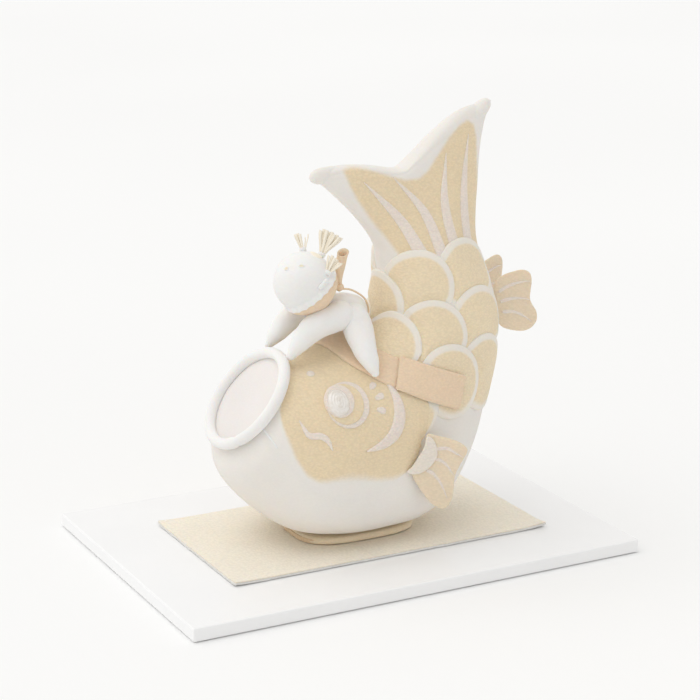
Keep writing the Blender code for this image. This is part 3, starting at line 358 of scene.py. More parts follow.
class Shader:
    """A material's node tree, built from the Principled shader outward."""

    def __init__(self, name, roughness, sheen=0.0, specular=0.5, coat=0.0, glow=0.0):
        self.material = bpy.data.materials.new(name)
        self.material.use_nodes = True
        self.tree = self.material.node_tree
        self.base = self.tree.nodes["Principled BSDF"]
        self.base.inputs["Roughness"].default_value = roughness
        self.base.inputs["Sheen Weight"].default_value = sheen
        self.base.inputs["Sheen Roughness"].default_value = 0.6
        self.base.inputs["Specular IOR Level"].default_value = specular
        self.base.inputs["Coat Weight"].default_value = coat
        self.base.inputs["Subsurface Weight"].default_value = glow
        self.base.inputs["Subsurface Radius"].default_value = (1.0, 0.5, 0.25)
        self.base.inputs["Subsurface Scale"].default_value = 2.5 * MM
        where = self.node("ShaderNodeTexCoord")
        self.place = self.node("ShaderNodeMapping", Vector=where.outputs["Object"],
                               Scale=(1000, 1000, 1000)).outputs[0]

    def node(self, kind, **inputs):
        made = self.tree.nodes.new(kind)
        for label, value in inputs.items():
            self.feed(made.inputs[label.replace("_", " ")], value)
        return made

    def feed(self, socket, value):
        if isinstance(value, bpy.types.NodeSocket):
            self.tree.links.new(value, socket)
        else:
            socket.default_value = value

    def math(self, operation, a, b=0.0):
        made = self.tree.nodes.new("ShaderNodeMath")
        made.operation = operation
        self.feed(made.inputs[0], a)
        self.feed(made.inputs[1], b)
        return made.outputs[0]

    def ramp(self, value, low, high, to_low=0.0, to_high=1.0, kind="SMOOTHSTEP"):
        made = self.tree.nodes.new("ShaderNodeMapRange")
        made.interpolation_type = kind
        for socket, number in zip(made.inputs, (value, low, high, to_low, to_high)):
            self.feed(socket, number)
        return made.outputs[0]

    def mix(self, share, a, b, blend="MIX"):
        made = self.tree.nodes.new("ShaderNodeMix")
        made.data_type = "RGBA"
        made.blend_type = blend
        self.feed(made.inputs[0], share)
        self.feed(made.inputs[6], a)
        self.feed(made.inputs[7], b)
        return made.outputs[2]

    def stretch(self, scale):
        made = self.node("ShaderNodeMapping", Vector=self.place)
        made.inputs["Scale"].default_value = scale
        return made.outputs[0]

    def noise(self, scale, detail=2.0, vector=None, distortion=0.0):
        return self.node("ShaderNodeTexNoise", Vector=vector or self.place, Scale=scale, Detail=detail,
                         Distortion=distortion).outputs["Fac"]

    def finish(self, colour, height=None, depth=0.2, strength=1.0):
        """Put the colour and a bump of that depth in millimetres on the shader."""
        self.feed(self.base.inputs["Base Color"], colour)
        if height is not None:
            bump = self.node("ShaderNodeBump", Height=height, Strength=strength, Distance=depth * MM)
            self.feed(self.base.inputs["Normal"], bump.outputs[0])
        return self.material


def tint(colour):
    return (*colour, 1.0)


def crepe(name, ground, dye=None, pebble_depth=0.22):
    """Fine silk crepe: a pebbled grain of a millimetre or two, with painted shade in its pits and a painted
    highlight on its tops, a slight sheen, and a soft-edged dye where asked.
    pebble_depth is how strong the grain and its painted shade are where the cloth isn't dyed; dyed cloth
    shows all of it."""
    shader = Shader(name, 0.85, sheen=0.1, specular=0.25, glow=0.18)
    warp = shader.node("ShaderNodeTexNoise", Vector=shader.place, Scale=0.25, Detail=1.0).outputs["Color"]
    bent = shader.mix(0.6, shader.stretch((0.8, 0.8, 1.2)), warp, "ADD")
    pebble = shader.tree.nodes.new("ShaderNodeTexVoronoi")
    pebble.feature = "SMOOTH_F1"
    shader.feed(pebble.inputs["Vector"], bent)
    pebble.inputs["Scale"].default_value = 0.72
    pebble.inputs["Smoothness"].default_value = 0.7
    thread = shader.noise(2.6, 2.0)
    grain = shader.ramp(pebble.outputs["Distance"], 0.15, 0.7, 1.0, 0.0, "LINEAR")
    height = shader.math("ADD", grain, shader.math("MULTIPLY", thread, 0.35))
    colour, depth = tint(ground), pebble_depth
    if dye:
        field = shader.node("ShaderNodeAttribute")
        field.attribute_name = "dye"
        wander = shader.math("MULTIPLY", shader.math("SUBTRACT", shader.noise(0.5, 2.0), 0.5), 0.5)
        share = shader.ramp(shader.math("ADD", field.outputs["Fac"], wander), -1.0, 1.0)
        colour = shader.mix(share, tint(ground), tint(dye))
        depth = shader.ramp(share, 0.0, 1.0, pebble_depth, 1.0, "LINEAR")
    cloud = shader.ramp(shader.noise(0.03, 3.0), 0.3, 0.7, 0.975, 1.01)
    # painted shade and highlight: the colour darkens where the grain's bump is low and lightens on its raised
    # tops
    grain_pit_shade = shader.ramp(shader.math("MULTIPLY", shader.math("SUBTRACT", height, 0.75), depth), -0.6, 0.6,
                        0.935, 1.045,
                        "LINEAR")
    colour = shader.mix(1.0, colour, shader.math("MULTIPLY", cloud, grain_pit_shade), "MULTIPLY")
    return shader.finish(colour, height, 0.18, shader.math("MULTIPLY", depth, 0.9))


WHITE = (0.865, 0.83, 0.78)
BEIGE = (0.85, 0.705, 0.49)
SCALE_BEIGE = (0.87, 0.735, 0.525)
CREAM = (0.875, 0.825, 0.745)
TRIM = (0.86, 0.765, 0.685)
PEACH = (0.855, 0.67, 0.485)
FIN = (0.835, 0.71, 0.535)
STUFFED = (0.895, 0.885, 0.865)


def acrylic(name):
    """Opal white sheet: even, glossy, with a faint cloudiness."""
    shader = Shader(name, 0.22, specular=0.5)
    cloud = shader.ramp(shader.noise(0.02, 2.0), 0.3, 0.7, 0.985, 1.0)
    ripple = shader.noise(0.05, 1.0)
    return shader.finish(shader.mix(1.0, tint((0.93, 0.93, 0.93)), cloud, "MULTIPLY"), ripple, 0.05, 0.2)


def paper(name, colour):
    """The fibrous white edge of cut card."""
    shader = Shader(name, 0.95, specular=0.2)
    fibres = shader.noise(1.6, 4.0, shader.stretch((0.35, 0.35, 3.0)))
    shade = shader.ramp(fibres, 0.3, 0.7, 0.86, 1.02)
    return shader.finish(shader.mix(1.0, tint(colour), shade, "MULTIPLY"), fibres, 0.3, 0.7)


def wood(name):
    """Plain pale softwood for the hidden board, pin and dowel."""
    shader = Shader(name, 0.6)
    rings = shader.noise(0.25, 3.0, shader.stretch((0.2, 2.0, 2.0)), 0.4)
    colour = shader.mix(shader.ramp(rings, 0.35, 0.65), tint((0.78, 0.62, 0.42)), tint((0.68, 0.5, 0.31)))
    return shader.finish(colour, rings, 0.1, 0.4)


def foam(name):
    """Cut foam of the hidden core: fine open cells."""
    shader = Shader(name, 0.95, specular=0.2)
    cells = shader.noise(0.9, 4.0)
    return shader.finish(shader.mix(shader.ramp(cells, 0.35, 0.6), tint((0.82, 0.81, 0.76)),
                                    tint((0.93, 0.93, 0.9))),
                         cells, 0.4, 0.6)


def pearl(name):
    """A glossy off-white bead of wound lacquered thread."""
    shader = Shader(name, 0.16, specular=0.6, coat=0.5)
    cloud = shader.ramp(shader.noise(0.35, 2.0), 0.35, 0.65)
    return shader.finish(shader.mix(cloud, tint((0.80, 0.745, 0.68)), tint((0.86, 0.82, 0.77))))


def straw(name):
    """Dry pale straw with fibres along each strand."""
    shader = Shader(name, 0.55, specular=0.35)
    field = shader.node("ShaderNodeAttribute")
    field.attribute_name = "fibre"
    streak = shader.node("ShaderNodeTexNoise", Scale=1.0, Detail=3.0)
    streak.noise_dimensions = "1D"
    shader.feed(streak.inputs["W"], field.outputs["Fac"])
    share = shader.ramp(streak.outputs["Fac"], 0.35, 0.65)
    colour = shader.mix(share, tint((0.96, 0.86, 0.68)), tint((0.985, 0.93, 0.82)))
    return shader.finish(colour, streak.outputs["Fac"], 0.12, 0.6)


PAINTS = {
    "body": crepe("white_crepe", WHITE, BEIGE),
    "face": crepe("face_crepe", WHITE, BEIGE),
    "scale": crepe("scale_crepe", CREAM, SCALE_BEIGE),
    "beige": crepe("beige_crepe", BEIGE, pebble_depth=1.0),
    "trim": crepe("trim_crepe", TRIM, pebble_depth=1.0),
    "root": crepe("fin_root_crepe", (0.86, 0.78, 0.69), pebble_depth=0.8),
    "fin": crepe("fin_crepe", FIN, pebble_depth=0.8),
    "peach": crepe("peach_crepe", PEACH, pebble_depth=0.8),
    "mat": crepe("mat_crepe", (0.92, 0.83, 0.70), pebble_depth=0.9),
    "plinth": crepe("plinth_crepe", (0.90, 0.77, 0.57), pebble_depth=0.7),
    "lining": crepe("lining_silk", (0.835, 0.79, 0.76), pebble_depth=0.2),
    "doll": crepe("doll_crepe", STUFFED, pebble_depth=0.2),
    "brow": crepe("brow_dye", STUFFED, (0.87, 0.76, 0.58), pebble_depth=0.2),
    "acrylic": acrylic("opal_acrylic"),
    "card": paper("mat_card_edge", (0.88, 0.865, 0.83)),
    "wood": wood("pale_softwood"),
    "foam": foam("core_foam"),
    "pearl": pearl("wound_pearl"),
    "straw": straw("straw_fibre"),
}


# ---------------------------------------------------------------- carp

def build_body():
    rows, columns = 230, 168
    points, dye = [], []
    for i in range(rows + 1):
        place = LAST * i / rows
        for j in range(columns):
            girth = 2 * math.pi * j / columns
            point = carp_point(place, girth)
            points.append(point)
            if place < 9:
                turn = abs((math.degrees(girth) + 180) % 360 - 180)
                spot = (place * STATION_LENGTH, turn * GIRTH_LENGTH)
                rear = table_at(HEAD_COVER_REAR, min(turn, 105))
                depth = polygon_depth(spot, FACE_FLAT) / 1.6 if place < rear else -3
            else:
                depth = polygon_depth((point.x, point.z), TAIL_DYE) / 1.5
            dye.append(max(depth, -20.0))
    faces = [tuple(reversed(face)) for face in grid_faces(rows + 1, columns, closed_columns=True)]
    made = piece("carp_padded_body", points, faces, PAINTS["body"], "carp", ["carp_cover"], {"dye": dye})


def table_at(rows, degrees):
    """A smooth value from a table whose first column is an angle in degrees."""
    i = 0
    while i < len(rows) - 2 and degrees > rows[i + 1][0]:
        i += 1
    low, high = rows[i][0], rows[i + 1][0]
    return catmull([Vector((row[1], 0)) for row in rows], i + (degrees - low) / (high - low)).x


FACE_FLAT = [(place * STATION_LENGTH, girth * GIRTH_LENGTH) for place, girth in FACE_DYE]


def build_head_cover():
    """The beige face cloth.
    Its crisp padded edge behind the cheek dies away into the white at the front."""
    reach, rows, columns = 105, 150, 62
    points, dye = [], []
    steps = [i / columns for i in range(columns)]
    for i in range(rows + 1):
        turn = -reach + 2 * reach * i / rows
        girth = math.radians(turn)
        first, last = 0.06, table_at(HEAD_COVER_REAR, min(abs(turn), reach))
        edge, before = carp_point(last, girth), carp_point(last - 0.05, girth)
        unit = 0.05 / max((edge - before).length, 0.01)            # stations in a millimetre at the rear edge
        places = [first + (last - EDGE_STEPS[-1] * unit - first) * step for step in steps]
        places += [last - step * unit for step in reversed(EDGE_STEPS)] + [last]
        fade = 1 - smooth(86, 101, abs(turn))
        for k, place in enumerate(places):
            from_rear = (last - place) / unit
            grow = smooth(0.0, 1.0, (place - first) / 1.2)
            top = 2.0 * fade * (0.12 + 0.88 * grow) * rim(from_rear, 1.0) + 0.05
            if k == len(places) - 1:
                top = -0.5
            points.append(carp_point(place, girth) + carp_normal(place, girth) * top)
            spot = (place * STATION_LENGTH, abs(turn) * GIRTH_LENGTH)
            dye.append(max(polygon_depth(spot, FACE_FLAT) / 1.6, -20.0))
    faces = grid_faces(rows + 1, columns + len(EDGE_STEPS) + 1)
    made = piece("face_cloth", points, faces, PAINTS["face"], "carp", ["head_cover"], {"dye": dye})


def march(start, way, outside, limit):
    """How far one can go from start along a direction before a test says stop."""
    low, high = 0.0, limit
    for i in range(1, 15):
        far = limit * i / 14
        if outside(SEAT.settle(start + way * far)[0]):
            high = far
            break
        low = far
    for _ in range(8):
        middle = (low + high) / 2
        if outside(SEAT.settle(start + way * middle)[0]):
            high = middle
        else:
            low = middle
    return max(low, 0.5)


TUCK = 2.2                      # how far a scale runs on under the one that lies over it
SCALE_HEIGHT = 2.4
SCALE_BORDER = 4.3              # width of the undyed border
# Lines that two scales run under, as a point in x and z and the way that their seen side faces: scale F goes
# under the sash and scale H under the face cloth
UNDER = {"f": ((13.0, 117.0), (0.395, 0.92)), "h": ((32.5, 99.6), (0.853, 0.521))}


def build_scale(name, start, own, radius, over, stands_for, fade_below=None, spokes=120):
    """One padded scale: its free edge stands up and its root is tucked under its neighbours."""
    line = UNDER.get(name[0])

    def cover(spot):
        depth = max((size - (spot - centre).length for centre, size in over), default=-99.0)
        if line:
            (x, z), (facing_x, facing_z) = line
            depth = max(depth, (x - spot.x) * facing_x + (z - spot.z) * facing_z)
        return depth

    def outside(spot):
        return (spot - own).length > radius or cover(spot) > TUCK

    def height(spot, _):
        from_edge = radius - (spot - own).length
        tucked = 1 - 0.75 * smooth(-4.0, TUCK, cover(spot))
        swell = 0.8 + 0.2 * smooth(0.0, 6.0, from_edge)
        return SCALE_HEIGHT * swell * tucked * max(rim(from_edge, 0.9), 0.02)

    def field(spot, _):
        depth = radius - (spot - own).length - SCALE_BORDER
        soft = 0.95
        if fade_below:
            soft += 1.6 * smooth(fade_below, fade_below - 14, spot.z)
        return depth / soft

    made = pad_on(f"scale_{name}_padded", start, lambda way: march(start[0], way, outside, radius * 1.7),
                  height, field, PAINTS["scale"], "carp", stands_for, spokes)


def build_scales():
    for side, hand in SIDES:
        centres = {key: (SEAT.under(row[0], row[1], side)[0], row[2]) for key, row in SCALES.items()}
        ridge_seat = SEAT.settle(Vector((RIDGE_SCALE[0], MID_Y, RIDGE_SCALE[1])))[0]
        centres["c"] = (ridge_seat, RIDGE_SCALE[2])
        for key, (x, z, radius, shift, over) in SCALES.items():
            start = SEAT.under(x + shift * 0.3, z + shift, side)
            build_scale(f"{key}_{hand}", start, centres[key][0], radius, [centres[other] for other in over],
                        [f"scale_{key}_{hand}"], 100.0 if key in "hg" else None)
    x, z, radius, shift = RIDGE_SCALE
    own = SEAT.settle(Vector((x, MID_Y, z)))[0]
    start = SEAT.settle(Vector((x, MID_Y, z + shift)))
    over = [(SEAT.under(SCALES["f"][0], SCALES["f"][1], side)[0], SCALES["f"][2]) for side, _ in SIDES]
    build_scale("c_back", start, own, radius, over, ["scale_c_back"], spokes=140)


def build_cheek_scales():
    """The lowest scale of each flank: a pale crescent behind the face cloth."""
    low, high = CHEEK_SCALE[0][0], CHEEK_SCALE[-1][0]
    for side, hand in SIDES:
        points, dye = [], []
        rows, columns = 36, 10
        for i in range(rows + 1):
            turn = low + (high - low) * i / rows
            girth = side * math.radians(turn)
            first = table_at(HEAD_COVER_REAR, turn) - 0.25
            last = table_at(CHEEK_SCALE, turn)
            last = max(last, first + 0.26)
            for k in range(columns + 2):
                share = min(k / columns, 1.0)
                place = first + (last - first) * (1 - (1 - share) ** 1.8)
                from_edge = (last - place) * 13.0
                top = -0.5 if k > columns else 2.0 * rim(from_edge, 1.0)
                top *= smooth(0.0, 0.12, i / rows) * 0.4 + 0.6
                points.append(carp_point(place, girth) + carp_normal(place, girth) * top)
                dye.append((from_edge - 3.4) / 1.6 - 0.8)
        faces = grid_faces(rows + 1, columns + 2)
        if side > 0:
            faces = [tuple(reversed(face)) for face in faces]
        made = piece(f"scale_i_{hand}_padded", points, faces, PAINTS["scale"], "carp", [f"scale_i_{hand}"],
                     {"dye": dye})


TAIL_TIPS = [
    # middle of the turned corner, the way it points and its half length and half width
    ((-15.3, 234.6), (-0.98, -0.08), 10.6, 5.0), ((87.4, 262.9), (0.78, 0.63), 13.4, 5.3),
]


def build_tail_tips():
    """The turned corners of the tail: soft nubs, puckered where they join it."""
    rings, sides = 20, 32
    for number, ((x, z), (way_x, way_z), long, wide) in enumerate(TAIL_TIPS, 1):
        middle, way = Vector((x, MID_Y, z)), Vector((way_x, 0, way_z)).normalized()
        up = way.cross(Vector((0, 1, 0)))
        points = []
        for i in range(1, rings):
            tilt = math.pi * i / rings
            for k in range(sides):
                angle = 2 * math.pi * k / sides
                pucker = 1 + 0.05 * math.sin(angle * 7 + i * 0.3) * smooth(0.45, 0.9, tilt / math.pi)
                size = wide * math.sqrt(1 - abs(math.cos(tilt)) ** 3) * pucker
                points.append(middle + way * long * math.cos(tilt) + up * size * math.cos(angle)
                              + Vector((0, 1, 0)) * size * 0.85 * math.sin(angle))
        faces = grid_faces(rings - 1, sides, closed_columns=True)
        faces += [tuple(range(sides)), tuple(range((rings - 2) * sides, (rings - 1) * sides))]
        dye = [-3.0] * len(points)
        made = face_out(piece(f"tail_tip_{number}", points, faces, PAINTS["body"], "carp", (), {"dye": dye}))


def build_tail_rays():
    for side, hand in SIDES:
        for number, (base, middle, tip, half) in enumerate(TAIL_RAYS, 1):
            line = [SEAT.under(x, z, side)[0] for x, z in (base, middle, tip)]
            made = strip_on(f"tail_ray_{number}_{hand}", line, [half, half * 0.72, 0.2],
                            lambda from_edge, _: 0.15 + 0.75 * rim(from_edge, 1.1), PAINTS["trim"], "carp",
                            steps=50)


# ---------------------------------------------------------------- face

def build_face():
    for side, hand in SIDES:
        for name, x, z, radius, bottom, top, swell, paint, node in EYE_DISCS:
            def height(_, from_edge, low=bottom, high=top, far=radius, crown=swell):
                inner = min(from_edge, far) / far
                return low + (high - low) * rim(from_edge, 1.0) + crown * smooth(0, 1, inner)

            made = pad_on(f"{name}_{hand}", SEAT.under(x, z, side), lambda way,
                          far=radius: oval(way, far, EYE_WIDTH),
                          height,
                          lambda *_: 0.0, PAINTS[paint], "carp", [f"{node}_{hand}"] if node else (), 96, 10)
        build_pearl(side, hand)
        for node, line, halves in (("gill_crescent", GILL, GILL_HALF), ("barbel", BARBEL, BARBEL_HALF)):
            seats = [SEAT.under(x, z, side)[0] for x, z in line]
            made = strip_on(f"{node}_{hand}_padded", seats, halves, lambda from_edge,
                            _: 1.4 * rim(from_edge, 1.2),
                            PAINTS["trim"], "carp", [f"{node}_{hand}"], 70, base=1.9)
        for number, (spot, tip) in enumerate(LASHES, 1):
            made = pad_on(f"lash_{number}_{hand}", SEAT.under(*spot, side), lambda way, to=tip: drop(way, to),
                          lambda _, from_edge: 1.9 + 0.7 * rim(from_edge, 0.9), lambda *_: 0.0,
                          PAINTS["trim"], "carp",
                          (), 48, 4)
        seam = [SEAT.under(x, z, side)[0] for x, z in DART]
        made = strip_on(f"mouth_dart_{hand}", seam, DART_HALF, lambda from_edge, _: 0.4 * rim(from_edge, 0.6),
                        PAINTS["doll"], "carp", steps=30)
        spot = SEAT.under(*NOSTRIL, side)
        made = pad_on(f"nostril_{hand}", spot, lambda way: 2.5, lambda _,
                      from_edge: 1.8 + 0.9 * rim(from_edge, 1.0),
                      lambda *_: -3.0, PAINTS["trim"], "carp", (), 40, 4)


def oval(way, tall, width):
    """How far the edge of an upright oval of the eye is from its middle."""
    rise = abs(way.z)
    return tall / math.sqrt((1 - rise * rise) / width ** 2 + rise * rise)


def drop(way, tip):
    """How far the edge of a lash is from its middle: a round drop drawn out to a tip."""
    along = way.x * tip[0] + way.z * tip[1]
    length, width = LASH_SIZE
    return width / 2 * (1 + (length / width - 0.35) * max(along, 0.0) ** 5)


def build_pearl(side, hand):
    """The eye's domed bead, wound from a spiral of thread round a pin hole."""
    x, z, radius, bottom, top, crown = PEARL

    def height(_, from_edge):
        from_middle = max(radius - from_edge, 0.0)
        share = min(from_middle / radius, 1.0)
        dome = bottom + (top - bottom) * rim(from_edge, 1.2) + crown * (1 - share ** 2.2)
        groove = 0.30 * abs(math.sin(math.pi * from_middle / 1.75))
        return dome + groove * smooth(0.3, 1.5, from_edge) - 1.6 * (1 - smooth(0.35, 0.8, from_middle))

    made = pad_on(f"eye_pearl_{hand}_wound", SEAT.under(x, z, side),
                  lambda way: oval(way, radius, PEARL_WIDTH),
                  lambda spot, from_edge: height(spot, min(from_edge, radius)), lambda *_: 0.0,
                  PAINTS["pearl"], "carp", [f"eye_pearl_{hand}"], 72, 40)


# ---------------------------------------------------------------- mouth

def mouth_frame():
    """The middle of the mouth, the way it faces, and its up direction."""
    top, bottom = DORSAL[0], VENTRAL[0]
    middle = (top + bottom) / 2
    rise = (top - bottom).normalized()
    return Vector((middle.x, MID_Y, middle.y)), Vector((-rise.y, 0, rise.x)), Vector((rise.x, 0, rise.y))


def build_mouth():
    middle, out, up = mouth_frame()
    across = Vector((0, 1, 0))
    centre = middle + out * RING_OFFSET
    around, turns = 180, 28
    points = []
    for i in range(around):
        angle = 2 * math.pi * i / around
        spoke = up * math.cos(angle) + across * math.sin(angle)
        seam = math.exp(-((math.degrees(angle) - 218) / 2.6) ** 2)
        pucker = noise.noise(Vector((math.cos(angle) * 3, math.sin(angle) * 3, 1.7)))
        tube = RING_TUBE * (1 + 0.04 * pucker - 0.16 * seam)
        for k in range(turns):
            turn = 2 * math.pi * k / turns
            fold = 1 + 0.012 * math.sin(angle * 46 + 2 * math.sin(turn)) * smooth(0.2, 1.0, -math.sin(turn))
            points.append(centre + spoke * (RING_RADIUS + tube * fold * math.cos(turn))
                          + out * tube * fold * math.sin(turn) * 1.04)
    made = face_out(piece("mouth_ring_padded", points, grid_faces(around, turns, True, True), PAINTS["doll"],
                          "carp", ["mouth_ring"]))

    rings, spokes = 26, 96
    points = [middle + out * 3.4]
    for i in range(1, rings + 1):
        share = i / rings
        for j in range(spokes):
            angle = 2 * math.pi * j / spokes
            spoke = up * math.cos(angle) + across * math.sin(angle)
            crumple = noise.noise(spoke * 2.2 + out * 3) * 0.5 * share
            rise = 1.2 + 2.2 * (1 - share ** 6) + crumple * (1 - share ** 6)
            points.append(middle + out * rise + spoke * LINING_REACH * share)
    faces = [(0, 1 + (j + 1) % spokes, 1 + j) for j in range(spokes)]
    faces += [tuple(1 + k for k in face) for face in grid_faces(rings, spokes, closed_columns=True)]
    made = piece("mouth_lining_silk", points, faces, PAINTS["lining"], "carp", ["mouth_lining"])


# ---------------------------------------------------------------- sash

def build_sash():
    near = [SEAT.under(x, z, -1)[0] for x, z in SASH[1:]]
    far = [SEAT.under(x, z, 1)[0] for x, z in SASH[1:]]
    ridge = SEAT.settle(Vector((SASH[0][0], MID_Y, SASH[0][1])))[0]
    line = near[::-1] + [ridge] + far
    columns = [-1 + i / 8 for i in range(17)]

    def band(from_edge, place):
        return 1.0 * rim(from_edge, 0.5) + 0.15 * math.sin(place * 40)

    made = strip_on("sash_band", line, [SASH_HALF] * len(line), band, PAINTS["peach"], "carp",
                    ["sash_ribbon"],
                    110, base=2.9, columns=columns)
    for seats, hand in ((near, "near"), (far, "far")):
        tab = seats[2:]
        start = tab[0].lerp(tab[1], 0.0)
        tab = [start] + tab[1:]
        made = strip_on(f"sash_tab_{hand}", tab, [SASH_HALF + 0.9] * len(tab),
                        lambda from_edge, place: 1.1 * rim(from_edge, 0.5) + 0.3 * smooth(0.85, 1.0, place),
                        PAINTS["peach"], "carp", (), 50, base=4.1, columns=columns)


# ---------------------------------------------------------------- fins

def fin_frame(pivot, flare, side, room):
    """A fin's root point, its outward direction and the way its seen face looks."""
    root, normal = SEAT.under(*pivot, side)
    angle = math.radians(flare)
    out = Vector((math.cos(angle), side * math.sin(angle), 0))
    return root + normal * room, out, Vector((-out.y, out.x, 0)) * side


def fin_pad(name, root, out, face, outline, inner, thick, paint, body, stands_for):
    """A flat padded fin: rings shrink from its rounded edge to its middle on both faces."""
    middle = Vector((sum(p[0] for p in outline) / len(outline), sum(p[1] for p in outline) / len(outline)))
    corners = [Vector(p) for p in outline]
    count, fine = len(corners), 10
    smooth_line = []
    for i in range(count * fine):
        a = i // fine
        quad = [corners[a - 1], corners[a], corners[(a + 1) % count], corners[(a + 2) % count]]
        smooth_line.append(catmull(quad, 1 + (i % fine) / fine))
    shares = [(0.02, 1.0), (0.25, 1.0), (0.5, 0.98), (0.75, 0.92), (0.9, 0.84), (0.955, 0.72), (0.985, 0.5),
              (1.0, 0.0)]
    rows = [(share, height) for share, height in shares] + [(share, -height) for share,
                                                            height in shares[-2::-1]]
    points = []
    for share, height in rows:
        for spot in smooth_line:
            flat = middle.lerp(spot, share)
            ripple = 0.12 * noise.noise(Vector((flat.x * 0.12, flat.y * 0.12, 4.0)))
            rise = Vector((0, 0, flat.y))
            points.append(root + out * flat.x + rise + face * (inner + thick * (height / 2 + ripple)))
    columns = len(smooth_line)
    faces = grid_faces(len(rows), columns, closed_columns=True)
    faces += [tuple(range(columns)), tuple(range((len(rows) - 1) * columns, len(rows) * columns))]
    made = face_out(piece(name, points, faces, paint, body, stands_for))


def fin_ray(name, root, out, face, line, half, thick, body):
    """A slim raised ray on both faces of a fin."""
    knots = [Vector(p) for p in line]
    steps, columns = 26, 9
    points, faces = [], []
    for sign in (1, -1):
        first = len(points)
        for i in range(steps + 1):
            share = i / steps
            place = share * (len(knots) - 1)
            spot = catmull(knots, place)
            ahead = (catmull(knots, place + 0.05) - catmull(knots, place - 0.05)).normalized()
            across = Vector((-ahead.y, ahead.x))
            wide = half * (1 - share) ** 0.7 * smooth(-0.25, 0.2, share) + 0.12
            for k in range(columns):
                side = 2 * k / (columns - 1) - 1
                flat = spot + across * wide * side
                top = thick / 2 + 0.1 + 0.55 * math.sqrt(max(1 - side * side, 0.0))
                points.append(root + out * flat.x + Vector((0, 0, flat.y)) + face * sign * (top - 0.2))
        faces += [tuple(first + k for k in quad) for quad in grid_faces(steps + 1, columns)]
    made = piece(name, points, faces, PAINTS["trim"], body)


def build_fins():
    for side, hand in SIDES:
        body = f"pectoral_{hand}"
        root, out, face = fin_frame(PECTORAL_PIVOT, PECTORAL_FLARE, side, PECTORAL_ROOM)
        fin_pad(f"pectoral_fin_{hand}_padded", root, out, face, PECTORAL_FIN, 0.0, 1.8, PAINTS["fin"], body,
                [f"pectoral_fin_{hand}"])
        fin_pad(f"pectoral_root_{hand}_padded", root, out, face, PECTORAL_ROOT, 1.5, 1.3, PAINTS["root"],
                body,
                [f"pectoral_root_{hand}"])
        for number, line in enumerate(PECTORAL_RAYS, 1):
            fin_ray(f"pectoral_ray_{number}_{hand}", root, out, face, line, 1.3, 1.8, body)
        body = f"pelvic_{hand}"
        root, out, face = fin_frame(PELVIC_PIVOT[hand], PELVIC_FLARE, side, PELVIC_ROOM)
        fin_pad(f"pelvic_fin_{hand}_padded", root, out, face, PELVIC_FIN, 0.0, 1.8, PAINTS["fin"], body,
                [f"pelvic_fin_{hand}"])
        for number, line in enumerate(PELVIC_RAYS, 1):
            fin_ray(f"pelvic_ray_{number}_{hand}", root, out, face, line, 1.3, 1.8, body)


# ---------------------------------------------------------------- child doll

def stuffed(name, line, radii, paint, body, stands_for, wrinkle=0.25, steps=34, sides=36):
    """A stuffed limb: round rings along a smooth line, closed by domes, with faint pulls in the cloth."""
    last = len(line) - 1
    sizes = [Vector((value, 0)) for value in radii]
    stations = []
    for i in range(steps + 1):
        place = last * i / steps
        ahead = (catmull(line, place + 0.05) - catmull(line, place - 0.05)).normalized()
        stations.append((catmull(line, place), ahead, catmull(sizes, place).x))
    caps = [math.radians(angle) for angle in (88, 75, 60, 45, 30, 15)]
    spot, ahead, size = stations[0]
    rings = [(spot - ahead * size * math.sin(bend), ahead, size * math.cos(bend)) for bend in caps]
    rings += stations
    spot, ahead, size = stations[-1]
    rings += [(spot + ahead * size * math.sin(bend), ahead, size * math.cos(bend)) for bend in reversed(caps)]
    points = []
    for spot, ahead, size in rings:
        side = ahead.cross(Vector((0, 1, 0.3))).normalized()
        up = side.cross(ahead)
        for k in range(sides):
            angle = 2 * math.pi * k / sides
            way = side * math.cos(angle) + up * math.sin(angle)
            dent = noise.noise((spot + way * size) * 0.16) * wrinkle * min(size / 4, 1)
            points.append(spot + way * (size + dent))
    count = len(rings)
    faces = grid_faces(count, sides, closed_columns=True)
    faces += [tuple(range(sides)), tuple(range((count - 1) * sides, count * sides))]
    made = face_out(piece(name, points, faces, paint, body, stands_for))
    return made


def on_head(way, lift=0.0):
    return HEAD_CENTRE + way.normalized() * (HEAD_RADIUS + lift)


def neck_ring(tilt, turn, radius):
    """A point round the neck's axis: tilt from the axis and turn round it, in radians."""
    side = NECK_WAY.cross(Vector((0, 1, 0))).normalized()
    other = NECK_WAY.cross(side)
    way = NECK_WAY * math.cos(tilt) + (side * math.cos(turn) + other * math.sin(turn)) * math.sin(tilt)
    return HEAD_CENTRE + way * radius


def build_doll():
    line = [Vector((x, MID_Y, z)) for x, z, _ in TORSO]
    stuffed("doll_torso_stuffed", line, [row[2] for row in TORSO], PAINTS["doll"], "carp", ["doll_torso"])
    for side, hand in SIDES:
        for node, rows in (("doll_arm", ARM), ("doll_leg", LEG)):
            spread = FAR_ARM_SPREAD if (node, hand) == ("doll_arm", "far") else 0.0
            line = [Vector((x, MID_Y + side * (y + spread * (i / (len(rows) - 1)) ** 2), z))
                    for i, (x, z, y, _) in enumerate(rows)]
            stuffed(f"{node}_{hand}_stuffed", line, [row[3] for row in rows], PAINTS["doll"], "carp",
                    [f"{node}_{hand}"])
    build_doll_head()
    build_bib()


